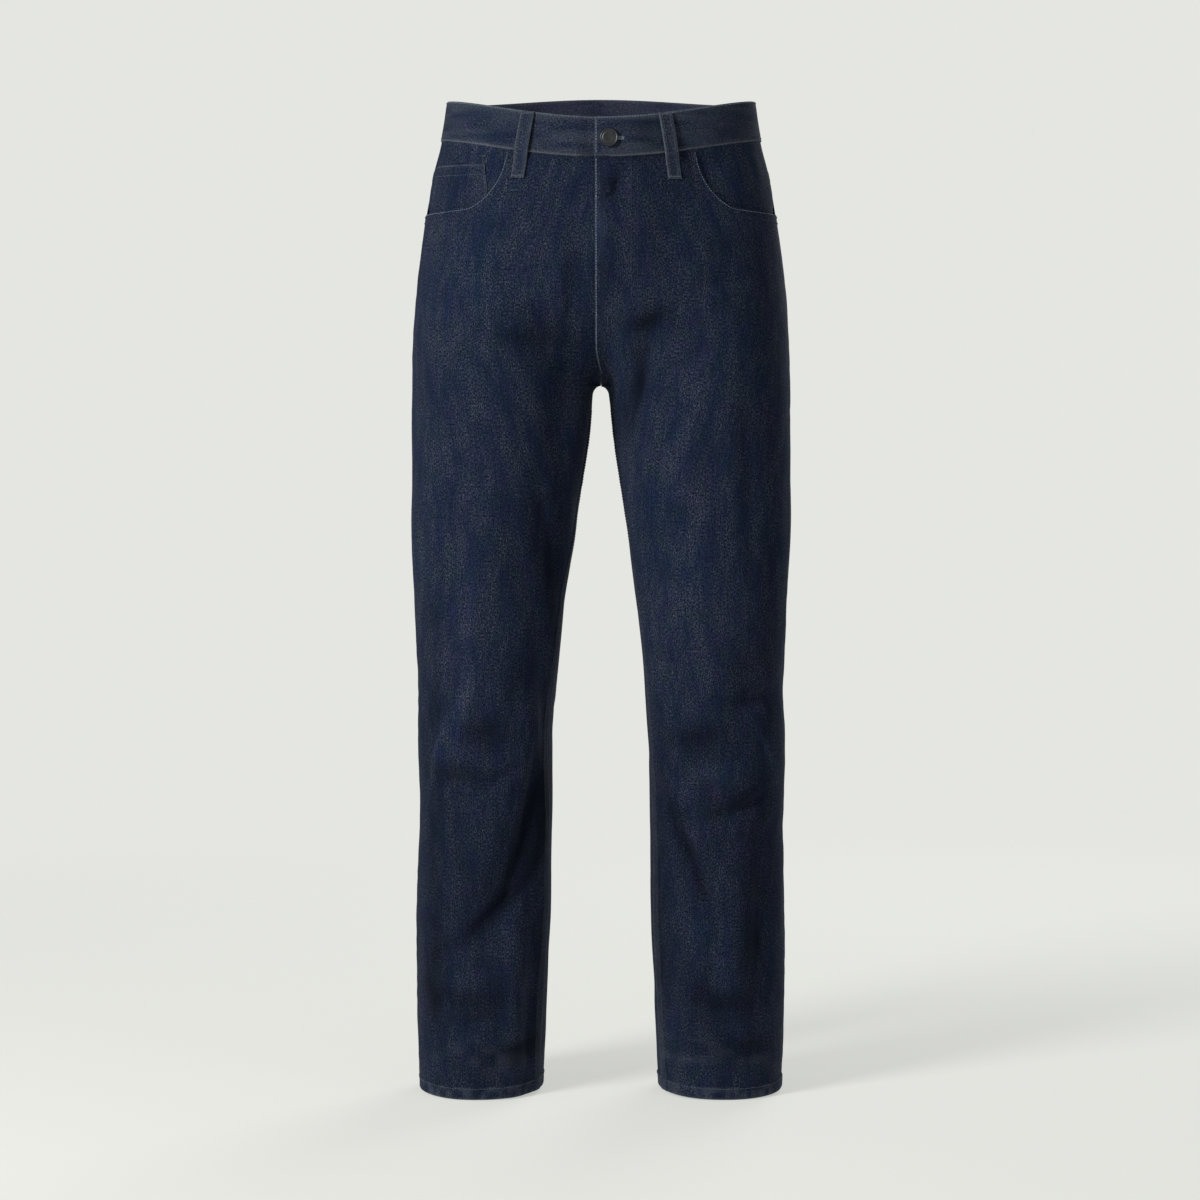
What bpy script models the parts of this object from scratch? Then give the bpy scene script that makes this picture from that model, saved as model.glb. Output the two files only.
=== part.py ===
"""Straight leg jeans, filled out as if worn, with nobody in them.

Metres, +Z up, +Y to the wearer's back, +X to the wearer's left. The origin is in the middle of the
waist, level with the top of the waistband at the sides. Every piece of cloth is a wall that follows
one skin: a lofted surface through the level sections of SECTIONS. A place on the skin is given by
a turn and a height. The turn is 0 at the front rise or inseam, 1 at the outseam and 2 at the back
rise or inseam, and it is negative on the wearer's right.
"""

import math

import bmesh
import bpy
import numpy as np

# Level sections of one side of the body and of the leg below it: height, the outseam's and the
# inseam's distance from the middle, and the foremost and rearmost points.
SECTION_COLUMNS = ("height", "outer", "inner", "front", "back")
SECTIONS = (
    (0.030, 0.1635, 0.0082, -0.1035, 0.1060),
    (0.000, 0.1652, 0.0082, -0.1060, 0.1090),
    (-0.043, 0.1720, 0.0082, -0.1090, 0.1140),
    (-0.078, 0.1812, 0.0082, -0.1110, 0.1210),
    (-0.105, 0.1862, 0.0082, -0.1120, 0.1270),
    (-0.144, 0.1925, 0.0082, -0.1130, 0.1330),
    (-0.190, 0.1982, 0.0082, -0.1120, 0.1340),
    (-0.240, 0.2020, 0.0082, -0.1085, 0.1270),
    (-0.305, 0.2042, 0.0082, -0.1020, 0.1120),
    (-0.344, 0.2047, 0.0118, -0.0990, 0.1070),
    (-0.400, 0.2054, 0.0193, -0.0950, 0.1010),
    (-0.455, 0.2062, 0.0275, -0.0890, 0.0960),
    (-0.540, 0.2024, 0.0392, -0.0800, 0.0880),
    (-0.627, 0.1982, 0.0465, -0.0730, 0.0830),
    (-0.714, 0.1994, 0.0512, -0.0660, 0.0840),
    (-0.790, 0.1988, 0.0540, -0.0600, 0.0860),
    (-0.880, 0.2014, 0.0546, -0.0560, 0.0890),
    (-0.975, 0.2014, 0.0593, -0.0510, 0.0920),
    (-1.090, 0.1984, 0.0648, -0.0460, 0.0930),
)
# How far forward of the section's innermost and outermost points the seams run
SEAM_COLUMNS = ("height", "inseam", "outseam")
SEAMS = (
    (0.030, 0.0, 0.0),
    (-0.180, 0.0, 0.0),
    (-0.305, 0.0, 0.016),
    (-0.420, 0.010, 0.028),
    (-0.520, 0.016, 0.022),
    (-0.600, 0.020, 0.006),
    (-0.680, 0.022, 0.002),
    (-0.860, 0.024, 0.004),
    (-1.090, 0.025, 0.004),
)
SQUARENESS = 2.2  # of the sections: 2 is an ellipse
CROTCH_HEIGHT = -0.305
CROTCH_BLEND, BLEND_REACH = 0.014, 0.080  # how softly, and how far down, the two legs run together
CROTCH_ROUND = 0.010  # height of the round top of the gap between the legs
# How the two legs' sections part from the hips down
SPLIT_EASE, SPLIT_SLOPE, SPLIT_CURVE, WHOLE_EASE = 0.012, 0.6, 3.2, 0.2

# Cloth
WALL = 0.0012
SEAM_HALF_GAP = 0.00018
LAYER_GAP = 0.0009  # between layers of faceted cloth, so that their facets stay clear
HEM_FOLD = 0.0135
HEM_WALL, HEM_PROUD = 0.0026, 0.0005

# Waistband
BAND_HEIGHT = 0.042
BAND_PROUD = 0.0010  # how far it stands out from the panels
BAND_WALL = 0.0025
FRONT_DIP, BACK_LIFT = 0.024, 0.0135
# Turns of the start of the strip, which lies under its end, and how much of the step each takes
UNDERLAP_TURNS = (0.14, 0.07, 0.0, -0.028, -0.055, -0.085)
UNDERLAP_SHARES = (1.0, 1.0, 1.0, 1.0, 0.75, 0.25)
UNDERLAP_STEP = 0.0032  # how far below the strip's end its start lies

# Fly: the wearer's left front laps over the right, and reaches this far past the middle
FLY_LAP = 0.0065
FLY_END = -0.297
FLY_TAPER = 0.030
ZIP_REACH = (-0.012, 0.020)
SHIELD_REACH = (-0.020, 0.036)
ZIP_LOWEST, SHIELD_LOWEST = -0.205, -0.225
TAPE_WALL = 0.0010
TUCK = 0.0006  # how far below the waistband seam the strips and facings behind it start

# Front pocket mouth, from the waistband seam down to the outseam: distance from the middle and height
MOUTH = ((0.0988, -0.0606), (0.1040, -0.0790), (0.1145, -0.0975), (0.1300, -0.1120), (0.1500, -0.1185))
MOUTH_END = -0.1212
MOUTH_ROWS = 7
FACING_REACH, FACING_LOWEST = 0.026, -0.150
FACING_DEPTH, FACING_EDGE_DEPTH = 0.0045, 0.0002
FACING_RISE, FACING_LEVEL = 0.22, -0.098
FACING_SHORT = 0.0018  # of a turn, short of the outseam
COIN_WALL = 0.0010
# Distance from the middle and height of the coin pocket's corners: its top edge, then its foot
COIN_TOP = ((0.1235, -0.0712), (0.1770, -0.0690))
COIN_FOOT = ((0.1150, -0.1400), (0.1810, -0.1400))

# Yoke and back pockets
YOKE_SIDE, YOKE_MIDDLE = -0.084, -0.104
POCKET_MIDDLE, POCKET_TOP = 0.086, -0.128
POCKET_WIDTH, POCKET_NARROWING = 0.150, 0.020
POCKET_DEPTH, POCKET_POINT = 0.130, 0.024
POCKET_SLOPE = 0.006  # how much lower the outer end of the mouth is than its middle

# Hems
HEM_HEIGHT = -1.072
HEM_TILT, HEM_TILT_TOP = 0.0035, -0.90  # the hem is lower in the middle of the front and back

# Belt loops: the turn or distance of the top and the foot from the middle
LOOP_WIDTH, LOOP_LENGTH, LOOP_WALL = 0.0140, 0.069, 0.0017
LOOP_LIFT = 0.0022  # how far the loop stands off the waistband in its middle
LOOP_GAP, LOOP_FOOT_GAP = 0.0004, 0.0008
LOOP_BELOW_TOP = 0.0008
LOOP_FOOT = 0.80  # share of the length at which the loop lies on the panel again
LOOP_OFF_BAND, LOOP_BAND_STEP = 0.72, 0.08
LOOPS = (
    ("loop_front_right", -0.0760, -0.0874, "front"),
    ("loop_front_left", 0.0665, 0.0772, "front"),
    ("loop_side_right", -0.118, -0.122, "back"),
    ("loop_side_left", 0.118, 0.122, "back"),
    ("loop_back", 0.0, 0.0, "back"),
)

# Waist button: a turned cap with a rim and a short neck, radius and height of each ring
BUTTON_AT, BUTTON_GAP = (0.0083, -0.0463), 0.0004
BUTTON_PROFILE = (
    (0.0, 0.0040), (0.0058, 0.0040), (0.0066, 0.0036), (0.0074, 0.0040), (0.0086, 0.0039),
    (0.0095, 0.0030), (0.0094, 0.0020), (0.0085, 0.0015), (0.0042, 0.0014), (0.0038, 0.0), (0.0, 0.0),
)

# Largest folds: middle, the direction of its run in the X Z plane, half length, half width, and
# depth, which is negative for a trough. Side is -1 on the front and 1 on the back of the legs.
FOLD_MIDDLE, FOLD_FADE = 0.010, 0.060  # y at which a fold has half its depth, and how fast it fades
FOLD_COLUMNS = ("x", "z", "run_x", "run_z", "half_length", "half_width", "depth", "side")
FOLDS = (
    (-0.088, -0.790, 0.30, 1.0, 0.110, 0.017, -0.0065, -1),
    (-0.125, -0.860, 1.0, 0.9, 0.050, 0.018, -0.0045, -1),
    (-0.125, -0.675, 1.0, 0.25, 0.040, 0.016, -0.0045, -1),
    (-0.150, -0.730, 1.0, -0.25, 0.035, 0.014, -0.0035, -1),
    (-0.075, -0.530, -0.12, 1.0, 0.120, 0.020, -0.0045, -1),
    (0.125, -0.755, -0.35, 1.0, 0.100, 0.014, -0.0040, -1),
    (0.155, -0.650, 1.0, 0.30, 0.040, 0.016, -0.0045, -1),
    (0.155, -0.800, 1.0, 0.35, 0.045, 0.016, -0.0045, -1),
    (-0.045, -0.270, 1.0, -0.6, 0.055, 0.017, -0.0040, -1),
    (0.050, -0.265, -1.0, -0.5, 0.060, 0.016, -0.0040, -1),
    (-0.140, -1.000, 1.0, 0.10, 0.035, 0.013, -0.0035, -1),
    (0.130, -1.000, 1.0, -0.12, 0.035, 0.013, -0.0035, -1),
    (-0.120, -0.600, 1.0, 0.20, 0.055, 0.018, -0.0050, 1),
    (-0.115, -0.665, 1.0, -0.22, 0.060, 0.017, -0.0055, 1),
    (-0.130, -0.730, 1.0, 0.28, 0.050, 0.018, -0.0045, 1),
    (0.125, -0.620, 1.0, -0.20, 0.055, 0.018, -0.0050, 1),
    (0.118, -0.685, 1.0, 0.24, 0.060, 0.017, -0.0055, 1),
    (0.130, -0.755, 1.0, -0.26, 0.050, 0.018, -0.0045, 1),
    (-0.080, -0.345, 1.0, 0.35, 0.060, 0.017, -0.0045, 1),
    (0.080, -0.350, 1.0, -0.38, 0.060, 0.017, -0.0045, 1),
)

COLUMNS = 10  # facets across a front or a back
LEG_ROWS = (
    -0.150, -0.180, -0.210, -0.238, -0.262, -0.281, -0.294, -0.3025, -0.305, -0.3065, -0.311, -0.321,
    -0.340, -0.368, -0.402, -0.440, -0.480, -0.520, -0.560, -0.598, -0.634, -0.668, -0.700, -0.732,
    -0.764, -0.796, -0.830, -0.868, -0.910, -0.952, -0.990, -1.024, -1.048, -1.0578, -1.0592, -1.072,
)

DENIM = (0.020, 0.028, 0.052, 1.0)
DENIM_INSIDE = (0.030, 0.040, 0.068, 1.0)
TAPE = (0.015, 0.017, 0.024, 1.0)
BUTTON_METAL = (0.040, 0.045, 0.052, 1.0)


def column(table, columns, name):
    return np.array([row[columns.index(name)] for row in table])


def smooth_between(z, heights, values):
    """Values at z of a soft curve through the table, whose heights fall."""
    heights, values = heights[::-1], values[::-1]
    slopes = np.gradient(values, heights)
    i = np.clip(np.searchsorted(heights, z) - 1, 0, len(heights) - 2)
    step = heights[i + 1] - heights[i]
    t = np.clip((z - heights[i]) / step, 0.0, 1.0)
    ease = t * t * (3.0 - 2.0 * t)
    start = slopes[i] * step * t * (1.0 - t) ** 2
    end = slopes[i + 1] * step * t * t * (t - 1.0)
    return values[i] * (1.0 - ease) + values[i + 1] * ease + start + end


def section(z):
    """The size of the level section at each height of z."""
    heights = column(SECTIONS, SECTION_COLUMNS, "height")
    outer, inner, front, back = (
        smooth_between(z, heights, column(SECTIONS, SECTION_COLUMNS, name))
        for name in SECTION_COLUMNS[1:]
    )
    below = np.maximum(CROTCH_HEIGHT - z, 0.0)
    above = np.maximum(z - CROTCH_HEIGHT, 0.0)
    soft = CROTCH_BLEND * np.exp(-((below / BLEND_REACH) ** 2))
    leg_inner = np.sqrt(inner**2 + soft**2)
    arch = 1.0 - (1.0 - np.minimum(below / CROTCH_ROUND, 1.0)) ** 2
    blend = np.sqrt(leg_inner**2 - inner**2 * arch)
    wide = np.sqrt(outer**2 + blend**2)
    eased = np.sqrt(above**2 + SPLIT_EASE**2) - SPLIT_EASE
    parted = leg_inner - SPLIT_SLOPE * eased - SPLIT_CURVE * above**2
    whole = 0.5 * (parted - wide + np.sqrt((parted + wide) ** 2 + (WHOLE_EASE * above) ** 2))
    body_inner = np.where(above > 0, np.minimum(whole, leg_inner), leg_inner)
    return wide, body_inner, front, back, blend


def level_curve(z, is_back, count=97):
    """Points, from the rise or inseam round to the outseam, of the section at each height of z."""
    wide, inner, front, back, blend = (value[:, None] for value in section(z))
    middle = 0.5 * (wide + inner)
    reach = wide - middle
    start = np.clip((blend - middle) / reach, -1.0, 1.0)
    power = 2.0 / SQUARENESS
    first = np.arccos(np.abs(start) ** (1 / power))
    first = np.where(start < 0.0, math.pi - first, first)
    angle = first * (1.0 - np.linspace(0.0, 1.0, count)[None, :])
    cosine, sine = np.cos(angle), np.sin(angle)
    spread = middle + reach * np.sign(cosine) * np.abs(cosine) ** power
    x = np.sqrt(np.maximum(spread**2 - blend**2, 0.0))
    depth_middle = 0.5 * (front + back)
    depth = np.where(is_back[:, None], back - depth_middle, front - depth_middle)
    y = depth_middle + depth * np.abs(sine) ** power
    return x, y


def lengths(x, y):
    """Length along each row of points from its start."""
    steps = np.hypot(np.diff(x), np.diff(y))
    return np.concatenate([np.zeros((len(x), 1)), np.cumsum(steps, axis=1)], axis=1)


def seam_places(z, front, whole):
    """How far round the section, from its innermost point, the inseam and the outseam lie."""
    heights = column(SEAMS, SEAM_COLUMNS, "height")
    inseam = smooth_between(z, heights, column(SEAMS, SEAM_COLUMNS, "inseam"))
    outseam = smooth_between(z, heights, column(SEAMS, SEAM_COLUMNS, "outseam"))
    inseam = np.where(z < CROTCH_HEIGHT, inseam, 0.0)
    outseam = front - outseam
    return inseam, outseam, whole + inseam - outseam


def bare_skin(turn, z):
    """The skin without its folds, at each turn and height."""
    turn = np.where(turn > 2.0, turn - 4.0, np.where(turn < -2.0, turn + 4.0, turn))
    away = np.abs(turn)
    front_x, front_y = level_curve(z, np.zeros(len(z), bool))
    back_x, back_y = level_curve(z, np.ones(len(z), bool))
    front, back = lengths(front_x, front_y), lengths(back_x, back_y)
    whole = front[:, -1] + back[:, -1]
    inseam, outseam, behind = seam_places(z, front[:, -1], whole)
    round_it = np.where(away <= 1.0, inseam + away * (outseam - inseam), outseam + (away - 1.0) * behind)
    on_back = (round_it > front[:, -1]) & (round_it <= whole)
    wanted = np.where(on_back, whole - round_it, np.where(round_it > whole, round_it - whole, round_it))
    x = np.where(on_back[:, None], back_x, front_x)
    y = np.where(on_back[:, None], back_y, front_y)
    length = np.where(on_back[:, None], back, front)
    i = np.clip((length < wanted[:, None]).sum(axis=1) - 1, 0, x.shape[1] - 2)
    rows = np.arange(len(z))
    t = (wanted - length[rows, i]) / np.maximum(length[rows, i + 1] - length[rows, i], 1e-9)
    px = x[rows, i] * (1 - t) + x[rows, i + 1] * t
    py = y[rows, i] * (1 - t) + y[rows, i + 1] * t
    return np.stack([px * np.where(turn < 0, -1.0, 1.0), py, z], axis=1)


def outward(turn, z):
    """Unit normals of the bare skin. Across a rise or an inseam they join the pieces on both sides."""
    step_turn, step_z = 0.004, 0.0005
    away = np.abs(turn)
    across = neighbour(away + step_turn, z) - neighbour(away - step_turn, z)
    up = bare_skin(away, z + step_z) - bare_skin(away, z - step_z)
    normal = np.cross(across, up)
    normal[:, 0] *= np.where(turn < 0, -1.0, 1.0)
    return normal / np.linalg.norm(normal, axis=1)[:, None]


def neighbour(away, z):
    """A point of the left side, or the one past the seam where the turn runs past 0 or 2."""
    past = (away < 0.0) | (away > 2.0)
    around = np.where(away < 0.0, 2.0 + away, np.where(away > 2.0, away - 2.0, away))
    mirrored = past & (z > CROTCH_HEIGHT)
    point = bare_skin(np.where(mirrored, 2.0 - around, around), z)
    point[:, 0] *= np.where(mirrored, -1.0, 1.0)
    return point


def fold_depth(points):
    """How far the folds move the skin outwards at points of the bare skin."""
    x, y, z = points.T
    moved = np.zeros(len(points))
    for row in FOLDS:
        fold = dict(zip(FOLD_COLUMNS, row))
        run = math.hypot(fold["run_x"], fold["run_z"])
        along = ((x - fold["x"]) * fold["run_x"] + (z - fold["z"]) * fold["run_z"]) / run
        off = ((z - fold["z"]) * fold["run_x"] - (x - fold["x"]) * fold["run_z"]) / run
        facing = np.clip(0.5 + fold["side"] * (y - FOLD_MIDDLE) / FOLD_FADE, 0.0, 1.0)
        shape = np.exp(-((along / fold["half_length"]) ** 2) - (off / fold["half_width"]) ** 2)
        moved += fold["depth"] * facing * shape
    return moved


def skin(turn, z, offset):
    """Points of the skin with its folds, moved outwards by offset."""
    turn, z, offset = (np.asarray(value, float) for value in np.broadcast_arrays(turn, z, offset))
    shape = turn.shape
    turn, z, offset = turn.ravel(), z.ravel(), offset.ravel()
    points = bare_skin(turn, z)
    move = fold_depth(points) + offset
    return (points + outward(turn, z) * move[:, None]).reshape(*shape, 3)


def turn_at(distance, z, is_back=False):
    """The turn at which the skin is this far from the middle, on the front or the back."""
    turns = np.linspace(0.0, 1.0, 101)
    if is_back:
        turns = 2.0 - turns
    reach = bare_skin(turns, np.full(len(turns), float(z)))[:, 0]
    found = np.interp(abs(distance), reach, turns)
    return math.copysign(found, distance)


def panel_width(z, is_back=False):
    """How wide the front or the back is, along the level section."""
    z = np.array([float(z)])
    front, back = (lengths(*level_curve(z, np.array([which])))[:, -1] for which in (False, True))
    inseam, outseam, behind = seam_places(z, front, front + back)
    return float((behind if is_back else outseam - inseam)[0])


def band_top(turn):
    """Height of the waistband's top edge."""
    turn = np.abs(turn)
    lift = np.where(turn < 1.0, -FRONT_DIP, BACK_LIFT)
    return lift * np.cos(turn * math.pi / 2) ** 2


def band_seam(turn):
    return band_top(turn) - BAND_HEIGHT


def shell(name, outer, inner, colour, group, roughness=0.85, metallic=0.0):
    """A closed wall between two grids of points, its outer face first."""
    rows, columns = outer.shape[:2]
    mesh = bmesh.new()
    faces = [[[mesh.verts.new(p) for p in row] for row in grid] for grid in (outer, inner)]
    top, under = faces
    for r in range(rows - 1):
        for c in range(columns - 1):
            mesh.faces.new((top[r][c], top[r + 1][c], top[r + 1][c + 1], top[r][c + 1]))
            mesh.faces.new((under[r][c], under[r][c + 1], under[r + 1][c + 1], under[r + 1][c]))
    rim = [(0, c) for c in range(columns)]
    rim += [(r, columns - 1) for r in range(1, rows)]
    rim += [(rows - 1, c) for c in range(columns - 2, -1, -1)]
    rim += [(r, 0) for r in range(rows - 2, 0, -1)]
    for (r, c), (next_r, next_c) in zip(rim, rim[1:] + rim[:1]):
        mesh.faces.new((top[r][c], top[next_r][next_c], under[next_r][next_c], under[r][c]))
    bmesh.ops.recalc_face_normals(mesh, faces=mesh.faces)
    if mesh.calc_volume(signed=True) < 0:
        bmesh.ops.reverse_faces(mesh, faces=mesh.faces)
    data = bpy.data.meshes.new(name)
    mesh.to_mesh(data)
    mesh.free()
    return finish(name, data, colour, group, roughness, metallic)


def finish(name, data, colour, group, roughness, metallic):
    made = bpy.data.objects.new(name, data)
    material = bpy.data.materials.new(name)
    material.use_nodes = True
    shader = material.node_tree.nodes["Principled BSDF"]
    shader.inputs["Base Color"].default_value = colour
    shader.inputs["Roughness"].default_value = roughness
    shader.inputs["Metallic"].default_value = metallic
    material.diffuse_color = colour
    data.materials.append(material)
    group.objects.link(made)
    return made


def panel_rows(is_back):
    """The height of each row at the rise or inseam, and its end at the outseam or pocket mouth."""
    if is_back:
        upper = 4
        starts = np.linspace(YOKE_MIDDLE, MOUTH_END, upper)[:-1]
        ends = [(1.0, z) for z in np.linspace(YOKE_SIDE, MOUTH_END, upper)[:-1]]
    else:
        starts = np.linspace(float(band_seam(0.0)), MOUTH_END, MOUTH_ROWS + 1)[:-1]
        ends = mouth_curve(MOUTH_ROWS)[:-1]
    starts = list(starts) + [MOUTH_END] + list(LEG_ROWS)
    ends = list(ends) + [(1.0, MOUTH_END)] + [(1.0, z) for z in LEG_ROWS]
    return starts, ends


def mouth_curve(pieces):
    """Evenly spaced (turn, height) along the pocket mouth, from the waistband seam to the outseam."""
    coarse = [(turn_at(x, z), z) for x, z in MOUTH]
    coarse[0] = (coarse[0][0], float(band_seam(coarse[0][0])))
    coarse.append((1.0, MOUTH_END))
    coarse = np.array(coarse)
    knots = np.arange(len(coarse))
    fine = np.linspace(0, len(coarse) - 1, 60)
    turn = smooth_between(fine, knots[::-1], coarse[::-1, 0])
    z = smooth_between(fine, knots[::-1], coarse[::-1, 1])
    points = bare_skin(turn, z)
    length = np.concatenate([[0.0], np.cumsum(np.linalg.norm(np.diff(points, axis=0), axis=1))])
    even = np.linspace(0.0, length[-1], pieces + 1)
    return list(zip(np.interp(even, length, turn), np.interp(even, length, z)))


def fly_lap(z):
    """How far past the middle the left front reaches at height z."""
    return FLY_LAP * np.clip((z - FLY_END) / FLY_TAPER, 0.0, 1.0)


def panel(name, side, is_back, group):
    """A front or a back: one leg and its half of the seat."""
    starts, ends = panel_rows(is_back)
    turns, heights = [], []
    across = np.linspace(0.0, 1.0, COLUMNS + 1)
    for start_z, (end_turn, end_z) in zip(starts, ends):
        lap = 0.0 if is_back else -side * float(fly_lap(start_z))
        near = SEAM_HALF_GAP / panel_width(start_z, is_back)
        near += lap / panel_width(start_z, is_back)
        far = SEAM_HALF_GAP / panel_width(end_z, is_back)
        end_share = (2.0 - end_turn if is_back else end_turn) - far
        share = near + (end_share - near) * across
        turns.append(2.0 - share if is_back else share)
        heights.append(start_z + (end_z - start_z) * across)
    turns, heights = np.array(turns), np.array(heights)
    heights[0] = yoke_seam(turns[0]) if is_back else band_seam(turns[0])
    heights[0] -= SEAM_HALF_GAP
    low = np.clip((HEM_TILT_TOP - heights) / (HEM_TILT_TOP - HEM_HEIGHT), 0.0, 1.0)
    heights = heights - HEM_TILT * np.sin(turns * math.pi) * low
    in_hem = np.array(starts)[:, None] < HEM_HEIGHT + HEM_FOLD - 0.0002
    proud = np.where(in_hem, HEM_PROUD, 0.0)
    wall = np.where(in_hem, HEM_WALL, WALL)
    outer = skin(side * turns, heights, proud)
    inner = skin(side * turns, heights, proud - wall)
    return shell(name, outer, inner, DENIM, group)


def yoke_seam(turn):
    """Height of the seam under the yoke."""
    return YOKE_SIDE + (YOKE_MIDDLE - YOKE_SIDE) * (np.abs(turn) - 1.0)


def patch(name, turns, heights, outer_at, wall, group, colour=DENIM):
    outer = skin(turns, heights, outer_at)
    inner = skin(turns, heights, np.asarray(outer_at) - wall)
    return shell(name, outer, inner, colour, group)


def yoke(name, side, group):
    near = SEAM_HALF_GAP / panel_width(YOKE_SIDE, True)
    turns = np.linspace(2.0 - near, 1.0 + near, COLUMNS + 1)
    top = band_seam(turns) - SEAM_HALF_GAP
    low = yoke_seam(turns) + SEAM_HALF_GAP
    heights = np.linspace(top, low, 4)
    patch(name, side * np.broadcast_to(turns, heights.shape), heights, 0.0, WALL, group)


def waistband(group):
    """One strip all round, whose end at the front lies over its start."""
    lap_turn = FLY_LAP / panel_width(-0.03)
    seam = SEAM_HALF_GAP / panel_width(-0.03)
    under = np.array(UNDERLAP_TURNS)
    right = -np.linspace(0.10, 2.0, 2 * COLUMNS)
    left = np.linspace(2.0, 0.10, 2 * COLUMNS)[1:]
    over = np.array([0.05, 0.0, -lap_turn + seam])
    turns = np.concatenate([under, right, left, over])
    drop = np.zeros(len(turns))
    drop[: len(under)] = UNDERLAP_STEP * np.array(UNDERLAP_SHARES)
    heights = np.linspace(band_top(turns), band_seam(turns) + SEAM_HALF_GAP, 3)
    proud = np.broadcast_to(BAND_PROUD - drop, heights.shape)
    patch("waistband", np.broadcast_to(turns, heights.shape), heights, proud, BAND_WALL, group)


def strip_behind(name, reach, lowest, depth, wall, colour, group):
    """A strip behind the fly, from the waistband seam down."""
    top = float(band_seam(0.0)) - TUCK
    rows = np.linspace(top, lowest, 7)
    turns = np.array([[turn_at(x, z) for x in np.linspace(*reach, 5)] for z in rows])
    heights = np.broadcast_to(rows[:, None], turns.shape)
    patch(name, turns, heights, -depth, wall, group, colour)


def facing_depth(turn, z):
    """How far behind the skin the facing lies: deep behind the front, and up to the outseam elsewhere."""
    from_outseam = np.clip((1.0 - turn) / FACING_RISE, 0.0, 1.0)
    below_mouth = np.clip((FACING_LEVEL - z) / (FACING_LEVEL - MOUTH_END), 0.0, 1.0)
    share = np.maximum(from_outseam, below_mouth)
    ease = share * share * (3.0 - 2.0 * share)
    return FACING_EDGE_DEPTH + (FACING_DEPTH - FACING_EDGE_DEPTH) * ease


def pocket_facing(name, side, group):
    """The cloth seen in the pocket mouth, sewn into the waistband and the outseam."""
    first, _ = mouth_curve(MOUTH_ROWS)[0]
    start = first - FACING_REACH / panel_width(-0.10)
    turns = np.linspace(start, 1.0 - FACING_SHORT, 7)
    top = band_seam(turns) - TUCK
    heights = np.linspace(top, np.full(len(turns), FACING_LOWEST), 6)
    turns = np.broadcast_to(turns, heights.shape)
    patch(name, side * turns, heights, -facing_depth(turns, heights), WALL, group)


def coin_pocket(group):
    """The small pocket on the right facing, which runs on down behind the front."""
    top, foot = (np.array([(turn_at(x, z), z) for x, z in edge]) for edge in (COIN_TOP, COIN_FOOT))
    across = np.linspace(0.0, 1.0, 5)[:, None]
    top = top[0] + (top[1] - top[0]) * across
    foot = foot[0] + (foot[1] - foot[0]) * across
    down = np.linspace(0.0, 1.0, 5)[:, None]
    turns = top[:, 0] + (foot[:, 0] - top[:, 0]) * down
    heights = top[:, 1] + (foot[:, 1] - top[:, 1]) * down
    outer_at = LAYER_GAP + COIN_WALL - facing_depth(turns, heights)
    patch("coin_pocket", -turns, heights, outer_at, COIN_WALL, group)


def back_pocket(name, side, group):
    """A five-sided pocket laid on the back."""
    across = np.linspace(-1.0, 1.0, 9)
    down = np.linspace(0.0, 1.0, 8)[:, None]
    half_width = 0.5 * (POCKET_WIDTH - POCKET_NARROWING * down)
    point = POCKET_POINT * (1.0 - np.abs(across)) * down**2
    heights = POCKET_TOP - POCKET_DEPTH * down - point - POCKET_SLOPE * across
    turns = np.array([
        [turn_at(POCKET_MIDDLE + width, z, True) for width, z in zip(row_widths, row_heights)]
        for row_widths, row_heights in zip(half_width * across, heights)
    ])
    patch(name, side * turns, heights, LAYER_GAP + WALL, WALL, group)


def belt_loop(name, top_x, foot_x, where, group):
    """A strip over the waistband, close to it at both ends and clear of it between."""
    is_back = where == "back"
    down = np.linspace(0.0, 1.0, 9)
    middle = top_x + (foot_x - top_x) * down
    across = np.array([-0.5, 0.0, 0.5]) * LOOP_WIDTH
    top_turn = turn_at(top_x, -0.01, is_back)
    heights = float(band_top(top_turn)) - LOOP_BELOW_TOP - LOOP_LENGTH * down
    turns = np.array([[loop_turn(m + a, z, is_back) for a in across] for m, z in zip(middle, heights)])
    on_band = BAND_PROUD * np.clip((LOOP_OFF_BAND - down) / LOOP_BAND_STEP, 0.0, 1.0)
    arch = np.sin(np.clip(down / LOOP_FOOT, 0.0, 1.0) * math.pi)
    gap = LOOP_GAP + (LOOP_FOOT_GAP - LOOP_GAP) * down
    outer_at = np.broadcast_to((gap + on_band + LOOP_LIFT * arch + LOOP_WALL)[:, None], turns.shape)
    heights = np.broadcast_to(heights[:, None], turns.shape)
    patch(name, turns, heights, outer_at, LOOP_WALL, group)


def loop_turn(distance, z, is_back):
    """Like turn_at, and it runs on across the middle of the back."""
    if not is_back or abs(distance) > 0.02:
        return turn_at(distance, z, is_back)
    away = turn_at(abs(distance) + 1e-6, z, True)
    return away if distance > 0 else 4.0 - away


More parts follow.
